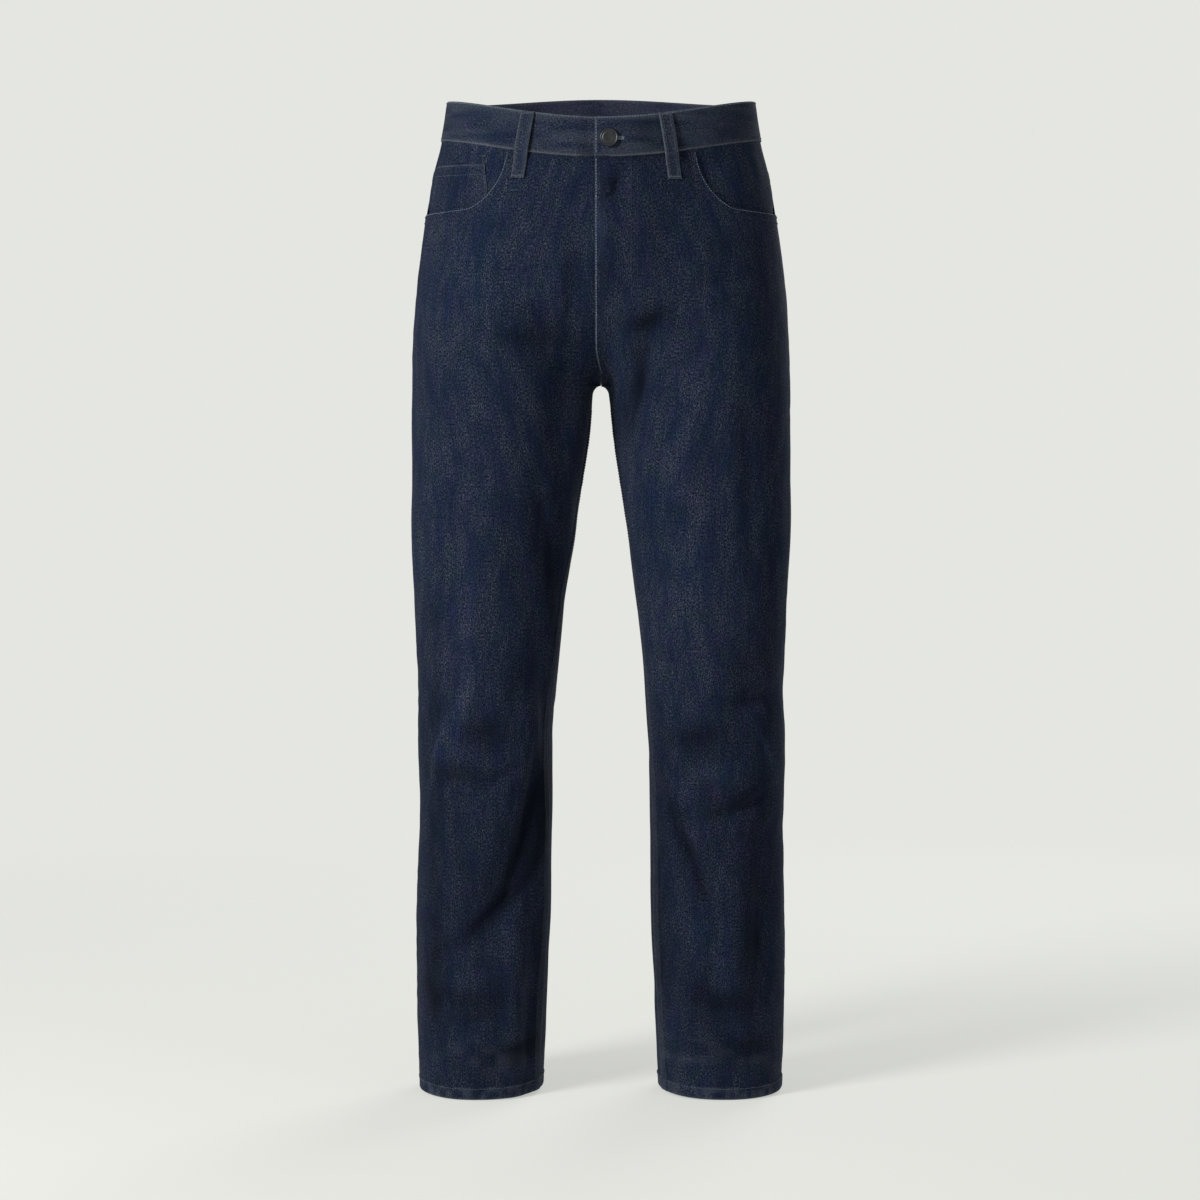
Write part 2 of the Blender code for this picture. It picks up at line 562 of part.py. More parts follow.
def waist_button(group):
    """The turned cap, standing off the waistband on its neck."""
    mesh = bmesh.new()
    points = [mesh.verts.new((radius, 0.0, height)) for radius, height in BUTTON_PROFILE]
    for start, end in zip(points, points[1:]):
        mesh.edges.new((start, end))
    bmesh.ops.spin(
        mesh, geom=mesh.verts[:] + mesh.edges[:], cent=(0, 0, 0), axis=(0, 0, 1), angle=math.tau, steps=20
    )
    bmesh.ops.remove_doubles(mesh, verts=mesh.verts, dist=1e-5)
    bmesh.ops.recalc_face_normals(mesh, faces=mesh.faces)
    data = bpy.data.meshes.new("waist_button")
    mesh.to_mesh(data)
    mesh.free()
    made = finish("waist_button", data, BUTTON_METAL, group, 0.45, 0.8)
    x, z = BUTTON_AT
    turn = turn_at(x, z)
    seat = skin([turn], [z], BAND_PROUD + BUTTON_GAP)[0]
    normal = outward(np.array([turn]), np.array([z]))[0]
    made.location = seat
    made.rotation_euler = (math.atan2(-normal[1], normal[2]), 0.0, 0.0)


def main():
    for old in list(bpy.data.objects):
        bpy.data.objects.remove(old, do_unlink=True)
    group = bpy.data.collections.new("straight_leg_jeans")
    bpy.context.scene.collection.children.link(group)
    for side, word in ((-1, "right"), (1, "left")):
        panel(f"front_{word}", side, False, group)
        panel(f"back_{word}", side, True, group)
        yoke(f"yoke_{word}", side, group)
        pocket_facing(f"pocket_facing_{word}", side, group)
        back_pocket(f"back_pocket_{word}", side, group)
    coin_pocket(group)
    waistband(group)
    behind_front = WALL + LAYER_GAP
    behind_zip = behind_front + TAPE_WALL + LAYER_GAP
    strip_behind("fly_zip", ZIP_REACH, ZIP_LOWEST, behind_front, TAPE_WALL, TAPE, group)
    strip_behind("fly_shield", SHIELD_REACH, SHIELD_LOWEST, behind_zip, WALL, DENIM_INSIDE, group)
    for name, top_x, foot_x, where in LOOPS:
        belt_loop(name, top_x, foot_x, where, group)
    waist_button(group)


main()
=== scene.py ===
"""Straight leg jeans, filled out as if worn, with nobody in them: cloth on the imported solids' form.

Metres, +Z up, +Y to the wearer's back, +X to the wearer's left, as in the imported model. A place on
the garment is a turn and a height: the turn is 0 at the front rise or inseam, 1 at the outseam and
2 at the back rise or inseam, and it is negative on the wearer's right.
"""

import math
import bpy
import numpy as np
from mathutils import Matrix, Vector


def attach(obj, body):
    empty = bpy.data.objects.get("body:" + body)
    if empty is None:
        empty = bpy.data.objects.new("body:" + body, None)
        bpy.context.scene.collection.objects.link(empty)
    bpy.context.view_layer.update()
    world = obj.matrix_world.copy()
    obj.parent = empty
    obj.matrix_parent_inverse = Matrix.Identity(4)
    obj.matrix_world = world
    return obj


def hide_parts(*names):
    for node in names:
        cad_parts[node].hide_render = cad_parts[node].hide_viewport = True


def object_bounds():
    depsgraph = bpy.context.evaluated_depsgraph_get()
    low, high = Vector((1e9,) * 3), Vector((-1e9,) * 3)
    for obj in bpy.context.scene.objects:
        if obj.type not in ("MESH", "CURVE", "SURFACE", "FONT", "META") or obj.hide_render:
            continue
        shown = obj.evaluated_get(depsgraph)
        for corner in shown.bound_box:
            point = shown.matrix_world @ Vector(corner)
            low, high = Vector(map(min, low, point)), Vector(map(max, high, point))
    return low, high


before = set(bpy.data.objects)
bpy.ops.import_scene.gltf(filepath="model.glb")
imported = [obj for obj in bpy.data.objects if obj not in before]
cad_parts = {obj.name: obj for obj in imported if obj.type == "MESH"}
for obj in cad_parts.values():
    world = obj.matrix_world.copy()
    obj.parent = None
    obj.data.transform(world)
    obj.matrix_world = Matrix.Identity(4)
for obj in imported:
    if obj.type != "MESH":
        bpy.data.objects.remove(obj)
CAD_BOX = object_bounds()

# Level sections of one side of the body and of the leg below it, as in the solids
SECTION_COLUMNS = ("height", "outer", "inner", "front", "back")
SECTIONS = (
    (0.030, 0.1635, 0.0082, -0.1035, 0.1060),
    (0.000, 0.1652, 0.0082, -0.1060, 0.1090),
    (-0.043, 0.1720, 0.0082, -0.1090, 0.1140),
    (-0.078, 0.1812, 0.0082, -0.1110, 0.1210),
    (-0.105, 0.1862, 0.0082, -0.1120, 0.1270),
    (-0.144, 0.1925, 0.0082, -0.1130, 0.1330),
    (-0.190, 0.1982, 0.0082, -0.1120, 0.1340),
    (-0.240, 0.2020, 0.0082, -0.1085, 0.1270),
    (-0.305, 0.2042, 0.0082, -0.1020, 0.1120),
    (-0.344, 0.2047, 0.0118, -0.0990, 0.1070),
    (-0.400, 0.2054, 0.0193, -0.0950, 0.1010),
    (-0.455, 0.2062, 0.0275, -0.0890, 0.0960),
    (-0.540, 0.2024, 0.0392, -0.0800, 0.0880),
    (-0.627, 0.1982, 0.0465, -0.0730, 0.0830),
    (-0.714, 0.1994, 0.0512, -0.0660, 0.0840),
    (-0.790, 0.1988, 0.0540, -0.0600, 0.0860),
    (-0.880, 0.2014, 0.0546, -0.0560, 0.0890),
    (-0.975, 0.2014, 0.0593, -0.0510, 0.0920),
    (-1.090, 0.1984, 0.0648, -0.0460, 0.0930),
)
SEAM_COLUMNS = ("height", "inseam", "outseam")
SEAMS = (
    (0.030, 0.0, 0.0),
    (-0.180, 0.0, 0.0),
    (-0.305, 0.0, 0.016),
    (-0.420, 0.010, 0.028),
    (-0.520, 0.016, 0.022),
    (-0.600, 0.020, 0.006),
    (-0.680, 0.022, 0.002),
    (-0.860, 0.024, 0.004),
    (-1.090, 0.025, 0.004),
)
SQUARENESS = 2.2
CROTCH_HEIGHT = -0.305
CROTCH_BLEND, BLEND_REACH, CROTCH_ROUND = 0.014, 0.080, 0.010
SPLIT_EASE, SPLIT_SLOPE, SPLIT_CURVE, WHOLE_EASE = 0.012, 0.6, 3.2, 0.2

WALL = 0.0012
HEM_FOLD, HEM_HEIGHT, HEM_PROUD, HEM_INSIDE = 0.0135, -1.072, 0.0006, 0.0009
HEM_TILT, HEM_TILT_TOP = 0.0035, -0.90
BAND_HEIGHT, BAND_PROUD, BAND_WALL = 0.042, 0.0012, 0.0025
FRONT_DIP, BACK_LIFT = 0.024, 0.0135
UNDERLAP_STEP = 0.0034
FLY_LAP, FLY_END, FLY_TAPER = 0.0065, -0.297, 0.030
MOUTH = ((0.0988, -0.0606), (0.1040, -0.0790), (0.1145, -0.0975), (0.1300, -0.1120), (0.1500, -0.1185))
MOUTH_END = -0.1212
YOKE_SIDE, YOKE_MIDDLE = -0.084, -0.104
POCKET_MIDDLE, POCKET_TOP, POCKET_WIDTH, POCKET_NARROWING = 0.086, -0.128, 0.150, 0.020
POCKET_DEPTH, POCKET_POINT, POCKET_SLOPE = 0.130, 0.024, 0.006
LOOP_WIDTH, LOOP_LENGTH, LOOP_WALL = 0.0140, 0.069, 0.0017
BUTTON_AT = (0.0083, -0.0463)

# Folds of the solids, then creases: middle, direction of the run in the X Z plane, half length,
# half width, depth (negative for a trough), side (-1 front, 1 back) and, if any, the run's bend
CREASE_DEEPER = 2.3
FOLD_COLUMNS = ("x", "z", "run_x", "run_z", "half_length", "half_width", "depth", "side", "bend")
FOLDS = (
    (-0.088, -0.79, 0.3, 1, 0.11, 0.017, -0.0065, -1),
    (-0.125, -0.86, 1, 0.9, 0.05, 0.018, -0.0045, -1),
    (-0.125, -0.675, 1, 0.25, 0.04, 0.016, -0.0045, -1),
    (-0.15, -0.73, 1, -0.25, 0.035, 0.014, -0.0035, -1),
    (-0.075, -0.53, -0.12, 1, 0.12, 0.02, -0.0045, -1),
    (0.125, -0.755, -0.35, 1, 0.1, 0.014, -0.004, -1),
    (0.155, -0.65, 1, 0.3, 0.04, 0.016, -0.0045, -1),
    (0.155, -0.8, 1, 0.35, 0.045, 0.016, -0.0045, -1),
    (-0.045, -0.27, 1, -0.6, 0.055, 0.017, -0.004, -1),
    (0.05, -0.265, -1, -0.5, 0.06, 0.016, -0.004, -1),
    (-0.14, -1, 1, 0.1, 0.035, 0.013, -0.0035, -1),
    (0.13, -1, 1, -0.12, 0.035, 0.013, -0.0035, -1),
    (-0.12, -0.6, 1, 0.2, 0.055, 0.018, -0.005, 1),
    (-0.115, -0.665, 1, -0.22, 0.06, 0.017, -0.0055, 1),
    (-0.13, -0.73, 1, 0.28, 0.05, 0.018, -0.0045, 1),
    (0.125, -0.62, 1, -0.2, 0.055, 0.018, -0.005, 1),
    (0.118, -0.685, 1, 0.24, 0.06, 0.017, -0.0055, 1),
    (0.13, -0.755, 1, -0.26, 0.05, 0.018, -0.0045, 1),
    (-0.08, -0.345, 1, 0.35, 0.06, 0.017, -0.0045, 1),
    (0.08, -0.35, 1, -0.38, 0.06, 0.017, -0.0045, 1),
    # fly and crotch
    (-0.058, -0.226, 1, -0.55, 0.042, 0.0085, -0.0022, -1, 3),
    (-0.07, -0.262, 1, -0.3, 0.034, 0.0075, -0.0018, -1, -3),
    (-0.03, -0.19, 0.05, 1, 0.05, 0.007, -0.0016, -1),
    (0.06, -0.232, -1, -0.35, 0.032, 0.0095, -0.0026, -1, 3),
    (0.038, -0.3, -0.25, -1, 0.048, 0.01, -0.0026, -1),
    (0.085, -0.285, -1, -0.45, 0.03, 0.007, -0.0013, -1),
    (-0.12, -0.205, 1, -0.25, 0.03, 0.008, -0.0011, -1, 4),
    (0.128, -0.196, -1, -0.3, 0.032, 0.008, -0.0011, -1, 4),
    # thighs
    (-0.06, -0.446, 0.18, -1, 0.08, 0.011, -0.0028, -1),
    (-0.11, -0.42, 0.1, 1, 0.09, 0.014, 0.0012, -1),
    (0.112, -0.44, 0.04, 1, 0.12, 0.017, 0.0014, -1),
    (0.16, -0.42, -0.05, 1, 0.11, 0.012, -0.0018, -1),
    (0.064, -0.48, 0.06, 1, 0.07, 0.011, -0.0016, -1),
    (-0.155, -0.5, 0.12, 1, 0.06, 0.012, -0.0011, -1),
    # knees
    (-0.056, -0.655, -0.07, 1, 0.08, 0.011, -0.0022, -1),
    (-0.176, -0.696, 0.26, 1, 0.04, 0.006, 0.0011, -1, -2),
    (-0.125, -0.68, 1, -0.4, 0.027, 0.0075, -0.0024, -1, 4),
    (-0.152, -0.728, 1, -0.3, 0.024, 0.007, -0.0022, -1, -4),
    (-0.105, -0.722, 1, 0.55, 0.02, 0.006, -0.0013, -1),
    (0.163, -0.638, 1, 0.25, 0.02, 0.0075, -0.0024, -1, 3),
    (0.105, -0.682, 1, -0.22, 0.019, 0.0062, -0.002, -1, -5),
    (0.155, -0.757, 1, 0.5, 0.029, 0.0078, -0.0026, -1, 3),
    (0.134, -0.706, 1, 0.1, 0.018, 0.006, -0.0012, -1),
    # calves
    (-0.079, -0.78, 0.2, 1, 0.08, 0.0062, -0.0024, -1, 0.8),
    (-0.117, -0.872, 1, 1.02, 0.04, 0.0062, -0.0021, -1, -2),
    (-0.076, -0.98, 0.03, 1, 0.085, 0.0085, -0.0024, -1),
    (-0.098, -0.965, 0.05, 1, 0.075, 0.007, 0.0008, -1),
    (0.1, -0.812, 0.44, -1, 0.066, 0.0052, -0.0019, -1, -0.8),
    (0.171, -0.88, 0.04, 1, 0.08, 0.01, -0.0024, -1),
    (0.12, -0.925, 0.1, 1, 0.045, 0.008, -0.001, -1),
    (-0.137, -0.99, 1, 0.1, 0.028, 0.0075, -0.002, -1, 3),
    (-0.134, -1.013, 1, 0.04, 0.03, 0.008, 0.0012, -1),
    (0.132, -0.992, 1, -0.15, 0.025, 0.0075, -0.002, -1, 3),
    (0.13, -1.014, 1, -0.06, 0.028, 0.008, 0.0012, -1),
    # back
    (-0.128, -0.57, 1, 0.32, 0.036, 0.0075, -0.0022, 1, 3),
    (-0.096, -0.632, 1, -0.3, 0.038, 0.007, -0.0025, 1, -3),
    (-0.138, -0.7, 1, 0.15, 0.034, 0.0072, -0.0022, 1, 3),
    (-0.112, -0.762, 1, -0.2, 0.03, 0.0066, -0.0018, 1),
    (0.112, -0.585, 1, -0.36, 0.034, 0.0074, -0.0021, 1, 3),
    (0.134, -0.65, 1, 0.26, 0.036, 0.007, -0.0026, 1, -3),
    (0.104, -0.722, 1, -0.14, 0.034, 0.007, -0.0021, 1, 3),
    (0.14, -0.79, 1, 0.3, 0.03, 0.0066, -0.0017, 1),
    (-0.062, -0.318, 1, 0.55, 0.04, 0.008, -0.0024, 1, 3),
    (-0.11, -0.372, 1, 0.26, 0.036, 0.0075, -0.0016, 1),
    (0.064, -0.322, 1, -0.6, 0.04, 0.008, -0.0024, 1, -3),
    (0.106, -0.38, 1, -0.22, 0.036, 0.0075, -0.0016, 1),
    (-0.09, -0.9, 0.1, 1, 0.09, 0.011, -0.0018, 1),
    (0.118, -0.91, -0.08, 1, 0.09, 0.011, -0.0018, 1),
    (-0.13, -1, 1, 0.12, 0.032, 0.008, -0.0018, 1),
    (0.136, -0.996, 1, -0.1, 0.032, 0.008, -0.0018, 1),
)

# Painted shade and painted light where the folds, seams and loops fall, partly also dye left dark or rubbed
# light:
# the same columns, and the depth is how much shade, below zero how much light
PAINTED_SHADE_AND_LIGHT = (
    # crotch and fly
    (-0.056, -0.4, 0.08, -1, 0.09, 0.015, 0.66, -1),
    (-0.072, -0.255, 1, 0.05, 0.034, 0.022, 0.55, -1, 3),
    (-0.024, -0.185, 0.05, 1, 0.04, 0.008, 0.45, -1),
    (-0.031, -0.325, -0.18, -1, 0.07, 0.01, -0.8, -1),
    (0.05, -0.238, 1, 0.42, 0.03, 0.011, 0.75, -1, -3),
    (0.035, -0.305, -0.2, -1, 0.045, 0.011, 1, -1),
    (0.016, -0.268, 0.25, 1, 0.03, 0.008, -0.3, -1),
    (0.012, -0.092, 0.35, 1, 0.022, 0.008, 0.5, -1),
    (0.0135, -0.0965, 0.25, 1, 0.008, 0.002, 0.8, -1),
    (0.0065, -0.1055, 1, 0.35, 0.006, 0.0018, 0.7, -1),
    (-0.001, -0.136, -0.02, 1, 0.028, 0.006, -0.7, -1),
    (0.01, -0.18, 0.05, 1, 0.03, 0.012, 0.25, -1),
    # hips
    (-0.125, -0.13, 0.2, 1, 0.07, 0.035, -0.1, -1),
    (0.14, -0.08, 0.2, 1, 0.04, 0.026, -0.32, -1),
    (0.153, -0.128, 1, 0.05, 0.024, 0.014, -0.28, -1),
    (0.094, -0.082, 0.22, -1, 0.026, 0.004, 0.6, -1),
    (0.15, -0.21, -0.05, 1, 0.08, 0.012, -0.12, -1),
    (0.058, -0.13, 0.05, 1, 0.08, 0.022, 0.2, -1),
    (0.046, -0.034, 0, 1, 0.04, 0.017, 0.4, -1),
    # thighs
    (-0.126, -0.33, 0.08, 1, 0.11, 0.026, -0.16, -1),
    (0.082, -0.365, 0.25, 1, 0.06, 0.011, -0.3, -1),
    (0.1, -0.47, -0.1, 1, 0.08, 0.02, -0.12, -1),
    (0.178, -0.47, -0.02, 1, 0.24, 0.012, 0.3, -1),
    (-0.046, -0.555, -0.1, 1, 0.13, 0.01, 0.65, -1),
    (-0.09, -0.622, 0.3, 1, 0.034, 0.014, 0.45, -1),
    # knees
    (-0.14, -0.565, 0.06, 1, 0.07, 0.007, -0.4, -1),
    (-0.152, -0.655, 0.36, 1, 0.048, 0.008, -0.65, -1),
    (-0.178, -0.698, 0.26, 1, 0.042, 0.003, -0.75, -1, -2),
    (0.181, -0.7, -0.42, 1, 0.03, 0.003, -0.6, -1, 2),
    (-0.118, -0.677, 1, -0.1, 0.034, 0.018, 0.45, -1, 3),
    (-0.15, -0.718, 1, -0.2, 0.028, 0.012, 0.5, -1, -4),
    (-0.182, -0.74, 0, 1, 0.23, 0.012, 0.4, -1),
    (0.112, -0.68, 1, -0.25, 0.036, 0.018, 0.6, -1, -4),
    (0.149, -0.62, 0.12, 1, 0.04, 0.013, 0.6, -1),
    (0.135, -0.752, 1, 0.3, 0.036, 0.013, 0.55, -1, 3),
    (0.112, -0.718, 1, 0.25, 0.03, 0.007, -0.3, -1),
    # calves
    (-0.062, -0.745, 0.14, 1, 0.055, 0.014, 0.75, -1),
    (-0.089, -0.832, 0.52, 1, 0.068, 0.013, 1.25, -1, 3),
    (-0.06, -0.835, 0.3, 1, 0.045, 0.007, -0.3, -1),
    (-0.094, -0.95, -0.1, 1, 0.05, 0.012, -0.3, -1),
    (0.092, -0.8, 0.42, -1, 0.062, 0.008, 0.55, -1, 0.8),
    (0.108, -0.776, 0.42, -1, 0.045, 0.007, -0.22, -1),
    (0.06, -0.9, 0, 1, 0.15, 0.012, 0.4, -1),
    (0.162, -0.88, 0, 1, 0.13, 0.018, 0.42, -1),
    # above the hems
    (-0.143, -0.967, 1, 0.06, 0.042, 0.015, 0.5, -1, 4),
    (-0.088, -1.024, 1, 0.35, 0.03, 0.013, 0.78, -1),
    (-0.062, -0.96, 0, 1, 0.09, 0.012, 0.45, -1),
    (-0.178, -0.96, 0, 1, 0.06, 0.014, 0.4, -1),
    (0.128, -0.967, 1, -0.18, 0.036, 0.014, 0.6, -1, 5),
    (0.15, -1.018, 1, 0.1, 0.04, 0.014, 0.4, -1),
    # back
    (-0.105, -0.32, 1, 0.35, 0.05, 0.012, 0.4, 1, 3),
    (0.1, -0.325, 1, -0.4, 0.05, 0.012, 0.4, 1, -3),
    (-0.06, -0.4, 0.05, 1, 0.11, 0.016, 0.35, 1),
    (0.062, -0.41, -0.05, 1, 0.11, 0.016, 0.35, 1),
    (-0.11, -0.19, 0.05, 1, 0.07, 0.05, -0.18, 1),
    (0.11, -0.19, -0.05, 1, 0.07, 0.05, -0.18, 1),
    (-0.125, -0.46, 0.04, 1, 0.11, 0.04, -0.12, 1),
    (0.128, -0.455, -0.04, 1, 0.11, 0.04, -0.12, 1),
    (-0.11, -0.662, 1, -0.22, 0.05, 0.014, 0.5, 1, 3),
    (0.118, -0.668, 1, 0.22, 0.05, 0.014, 0.5, 1, -3),
    (-0.122, -0.735, 1, 0.26, 0.045, 0.013, 0.4, 1),
    (0.126, -0.75, 1, -0.25, 0.045, 0.013, 0.4, 1),
    (-0.12, -0.83, 0.05, 1, 0.1, 0.022, 0.22, 1),
    (0.13, -0.85, -0.05, 1, 0.1, 0.022, 0.22, 1),
    (-0.125, -1, 1, 0.08, 0.045, 0.016, 0.45, 1, 3),
    (0.13, -0.996, 1, -0.08, 0.045, 0.016, 0.45, 1, 3),
)


def column(table, columns, name):
    return np.array([row[columns.index(name)] for row in table])


def read(z, table, columns, name):
    """A column's values at z."""
    return smooth_between(z, column(table, columns, "height"), column(table, columns, name))


def smooth_between(z, heights, values):
    """Values at z of a soft curve through the table, whose heights fall."""
    heights, values = heights[::-1], values[::-1]
    slopes = np.gradient(values, heights)
    i = np.clip(np.searchsorted(heights, z) - 1, 0, len(heights) - 2)
    step = heights[i + 1] - heights[i]
    t = np.clip((z - heights[i]) / step, 0.0, 1.0)
    ease = t * t * (3.0 - 2.0 * t)
    start = slopes[i] * step * t * (1.0 - t) ** 2
    end = slopes[i + 1] * step * t * t * (t - 1.0)
    return values[i] * (1.0 - ease) + values[i + 1] * ease + start + end


def section(z):
    outer, inner, front, back = (
        read(z, SECTIONS, SECTION_COLUMNS, name) for name in SECTION_COLUMNS[1:]
    )
    below = np.maximum(CROTCH_HEIGHT - z, 0.0)
    above = np.maximum(z - CROTCH_HEIGHT, 0.0)
    soft = CROTCH_BLEND * np.exp(-((below / BLEND_REACH) ** 2))
    leg_inner = np.sqrt(inner**2 + soft**2)
    arch = 1.0 - (1.0 - np.minimum(below / CROTCH_ROUND, 1.0)) ** 2
    blend = np.sqrt(leg_inner**2 - inner**2 * arch)
    wide = np.sqrt(outer**2 + blend**2)
    eased = np.sqrt(above**2 + SPLIT_EASE**2) - SPLIT_EASE
    parted = leg_inner - SPLIT_SLOPE * eased - SPLIT_CURVE * above**2
    whole = 0.5 * (parted - wide + np.sqrt((parted + wide) ** 2 + (WHOLE_EASE * above) ** 2))
    body_inner = np.where(above > 0, np.minimum(whole, leg_inner), leg_inner)
    return wide, body_inner, front, back, blend


def level_curve(z, is_back, count=385):
    wide, inner, front, back, blend = (value[:, None] for value in section(z))
    middle = 0.5 * (wide + inner)
    reach = wide - middle
    start = np.clip((blend - middle) / reach, -1.0, 1.0)
    power = 2.0 / SQUARENESS
    first = np.arccos(np.abs(start) ** (1 / power))
    first = np.where(start < 0.0, math.pi - first, first)
    angle = first * (1.0 - np.linspace(0.0, 1.0, count)[None, :])
    cosine, sine = np.cos(angle), np.sin(angle)
    spread = middle + reach * np.sign(cosine) * np.abs(cosine) ** power
    x = np.sqrt(np.maximum(spread**2 - blend**2, 0.0))
    depth_middle = 0.5 * (front + back)
    depth = (back if is_back else front) - depth_middle
    return x, depth_middle + depth * np.abs(sine) ** power


def widths(z, front, whole):
    """Where round the section the inseam and the outseam lie, and the back's width."""
    inseam = np.where(z < CROTCH_HEIGHT, read(z, SEAMS, SEAM_COLUMNS, "inseam"), 0.0)
    outseam = front - read(z, SEAMS, SEAM_COLUMNS, "outseam")
    return inseam, outseam, whole + inseam - outseam


def rings(z, turns):
    """Points of the left side's bare skin at each height and turn, and the front's and back's widths."""
    front_x, front_y = level_curve(z, False)
    back_x, back_y = level_curve(z, True)
    x = np.concatenate([front_x, back_x[:, -2::-1]], axis=1)
    y = np.concatenate([front_y, back_y[:, -2::-1]], axis=1)
    length = np.cumsum(np.hypot(np.diff(x), np.diff(y)), axis=1)
    length = np.concatenate([np.zeros((len(z), 1)), length], axis=1)
    front, whole = length[:, front_x.shape[1] - 1], length[:, -1]
    inseam, outseam, behind = widths(z, front, whole)
    points = np.empty((len(z), len(turns), 3))
    for i in range(len(z)):
        ahead = outseam[i] - inseam[i]
        past = (turns < 0.0) | (turns > 2.0)
        turn = turns
        if z[i] > CROTCH_HEIGHT:
            turn = np.where(turns < 0.0, -turns, np.where(turns > 2.0, 4.0 - turns, turns))
        at = np.where(turn <= 1.0, inseam[i] + turn * ahead, outseam[i] + (turn - 1.0) * behind[i])
        at = np.where(turn < 0.0, whole[i] + inseam[i] + turn * behind[i], at)
        at = np.where(turn > 2.0, whole[i] + inseam[i] + (turn - 2.0) * ahead, at)
        at = np.where(at > whole[i], at - whole[i], at)
        points[i, :, 0] = np.interp(at, length[i], x[i])
        points[i, :, 1] = np.interp(at, length[i], y[i])
        points[i, :, 2] = z[i]
        if z[i] > CROTCH_HEIGHT:
            points[i, past, 0] *= -1.0
    return points, outseam - inseam, behind


def skin_table():
    """The bare skin and its normals on a close grid of heights and turns."""
    far = np.arange(0.036, -1.104, -0.004)
    far = far[(far > -0.292) | (far < -0.336)]
    near = np.arange(-0.292, -0.336, -0.0008)
    heights = np.sort(np.concatenate([far, near, [CROTCH_HEIGHT, CROTCH_HEIGHT - 0.0002]]))
    turns = np.linspace(0.0, 2.0, 201)
    step_turn, step_z = 0.004, 0.0005
    points, front, back = rings(heights, turns)
    across = rings(heights, turns + step_turn)[0] - rings(heights, turns - step_turn)[0]
    up = rings(heights + step_z, turns)[0] - rings(heights - step_z, turns)[0]
    normals = np.cross(across, up)
    normals /= np.linalg.norm(normals, axis=2)[..., None]
    return heights, turns, points, normals, front, back


HEIGHTS, TURNS, POINTS, NORMALS, FRONT_WIDTH, BACK_WIDTH = skin_table()


def bare(turn, z):
    """Points and unit normals of the bare skin."""
    turn, z = np.broadcast_arrays(np.asarray(turn, float), np.asarray(z, float))
    turn = np.where(turn > 2.0, turn - 4.0, np.where(turn < -2.0, turn + 4.0, turn))
    away = np.abs(turn)
    i = np.clip(np.searchsorted(HEIGHTS, z) - 1, 0, len(HEIGHTS) - 2)
    down = ((z - HEIGHTS[i]) / (HEIGHTS[i + 1] - HEIGHTS[i]))[..., None]
    place = away / (TURNS[1] - TURNS[0])
    j = np.clip(place.astype(int), 0, len(TURNS) - 2)
    t = np.clip(place - j, 0.0, 1.0)[..., None]
    last = len(TURNS) - 1

    def along(table, row):
        a, b = table[row, j], table[row, j + 1]
        before = np.where((j > 0)[..., None], table[row, np.maximum(j - 1, 0)], 2 * a - b)
        after = np.where((j + 2 <= last)[..., None], table[row, np.minimum(j + 2, last)], 2 * b - a)
        slope_a, slope_b = 0.5 * (b - before), 0.5 * (after - a)
        ease = t * t * (3.0 - 2.0 * t)
        bent = slope_a * t * (1.0 - t) ** 2 + slope_b * t * t * (t - 1.0)
        return a * (1.0 - ease) + b * ease + bent

    points = along(POINTS, i) * (1.0 - down) + along(POINTS, i + 1) * down
    normals = along(NORMALS, i) * (1.0 - down) + along(NORMALS, i + 1) * down
    normals = normals / np.linalg.norm(normals, axis=-1)[..., None]
    side = np.where(turn < 0.0, -1.0, 1.0)
    points[..., 0] *= side
    normals[..., 0] *= side
    return points, normals


def noise(points, size, seed):
    """Smooth random values from -1 to 1 at points, with grains of that size."""
    place = points / np.asarray(size)
    cell = np.floor(place).astype(np.int64)
    part = place - cell
    part = part * part * (3.0 - 2.0 * part)
    total = np.zeros(points.shape[:-1])
    for corner in np.ndindex(2, 2, 2):
        at = cell + np.array(corner)
        mixed = (at[..., 0] * 73856093) ^ (at[..., 1] * 19349663) ^ (at[..., 2] * 83492791) ^ (seed * 7919)
        mixed = (mixed ^ (mixed >> 13)) * 1274126177
        value = ((mixed ^ (mixed >> 16)) & 0xFFFF) / 32767.5 - 1.0
        total += value * np.where(np.array(corner) == 1, part, 1.0 - part).prod(axis=-1)
    return total


def streaks(points, table):
    """Along and across each soft streak of a table, its share of each point, and its row."""
    x, y, z = (points[..., i] for i in range(3))
    for values in table:
        here = dict(zip(FOLD_COLUMNS, (*values, 0.0)))
        run = math.hypot(here["run_x"], here["run_z"])
        along = ((x - here["x"]) * here["run_x"] + (z - here["z"]) * here["run_z"]) / run
        off = ((z - here["z"]) * here["run_x"] - (x - here["x"]) * here["run_z"]) / run
        off = (off - here["bend"] * along**2) / here["half_width"]
        facing = np.clip(0.5 + here["side"] * (y - 0.01) / 0.06, 0.0, 1.0)
        yield off, facing * np.exp(-((along / here["half_length"]) ** 2)), here


def fold_depth(points):
    """How far folds, creases and the cloth's unevenness move the skin outwards."""
    moved = np.zeros(points.shape[:-1])
    for off, share, fold in streaks(points, FOLDS):
        shape, depth = np.exp(-(off**2)), fold["depth"]
        if fold["half_width"] < 0.0125:
            shape = np.exp(-((off * (1.0 + 0.45 * np.tanh(off))) ** 2))
            shape -= 0.30 * np.exp(-((np.abs(off) - 2.0) ** 2))
            depth *= CREASE_DEEPER
        moved += depth * share * shape
    loose = np.clip((-0.10 - points[..., 2]) / 0.25, 0.15, 1.0)
    moved += 0.0012 * loose * noise(points, (0.050, 0.050, 0.085), 3)
    moved += 0.00045 * loose * noise(points, (0.020, 0.020, 0.034), 5)
    return moved + 0.00010 * noise(points, (0.007, 0.007, 0.011), 8)


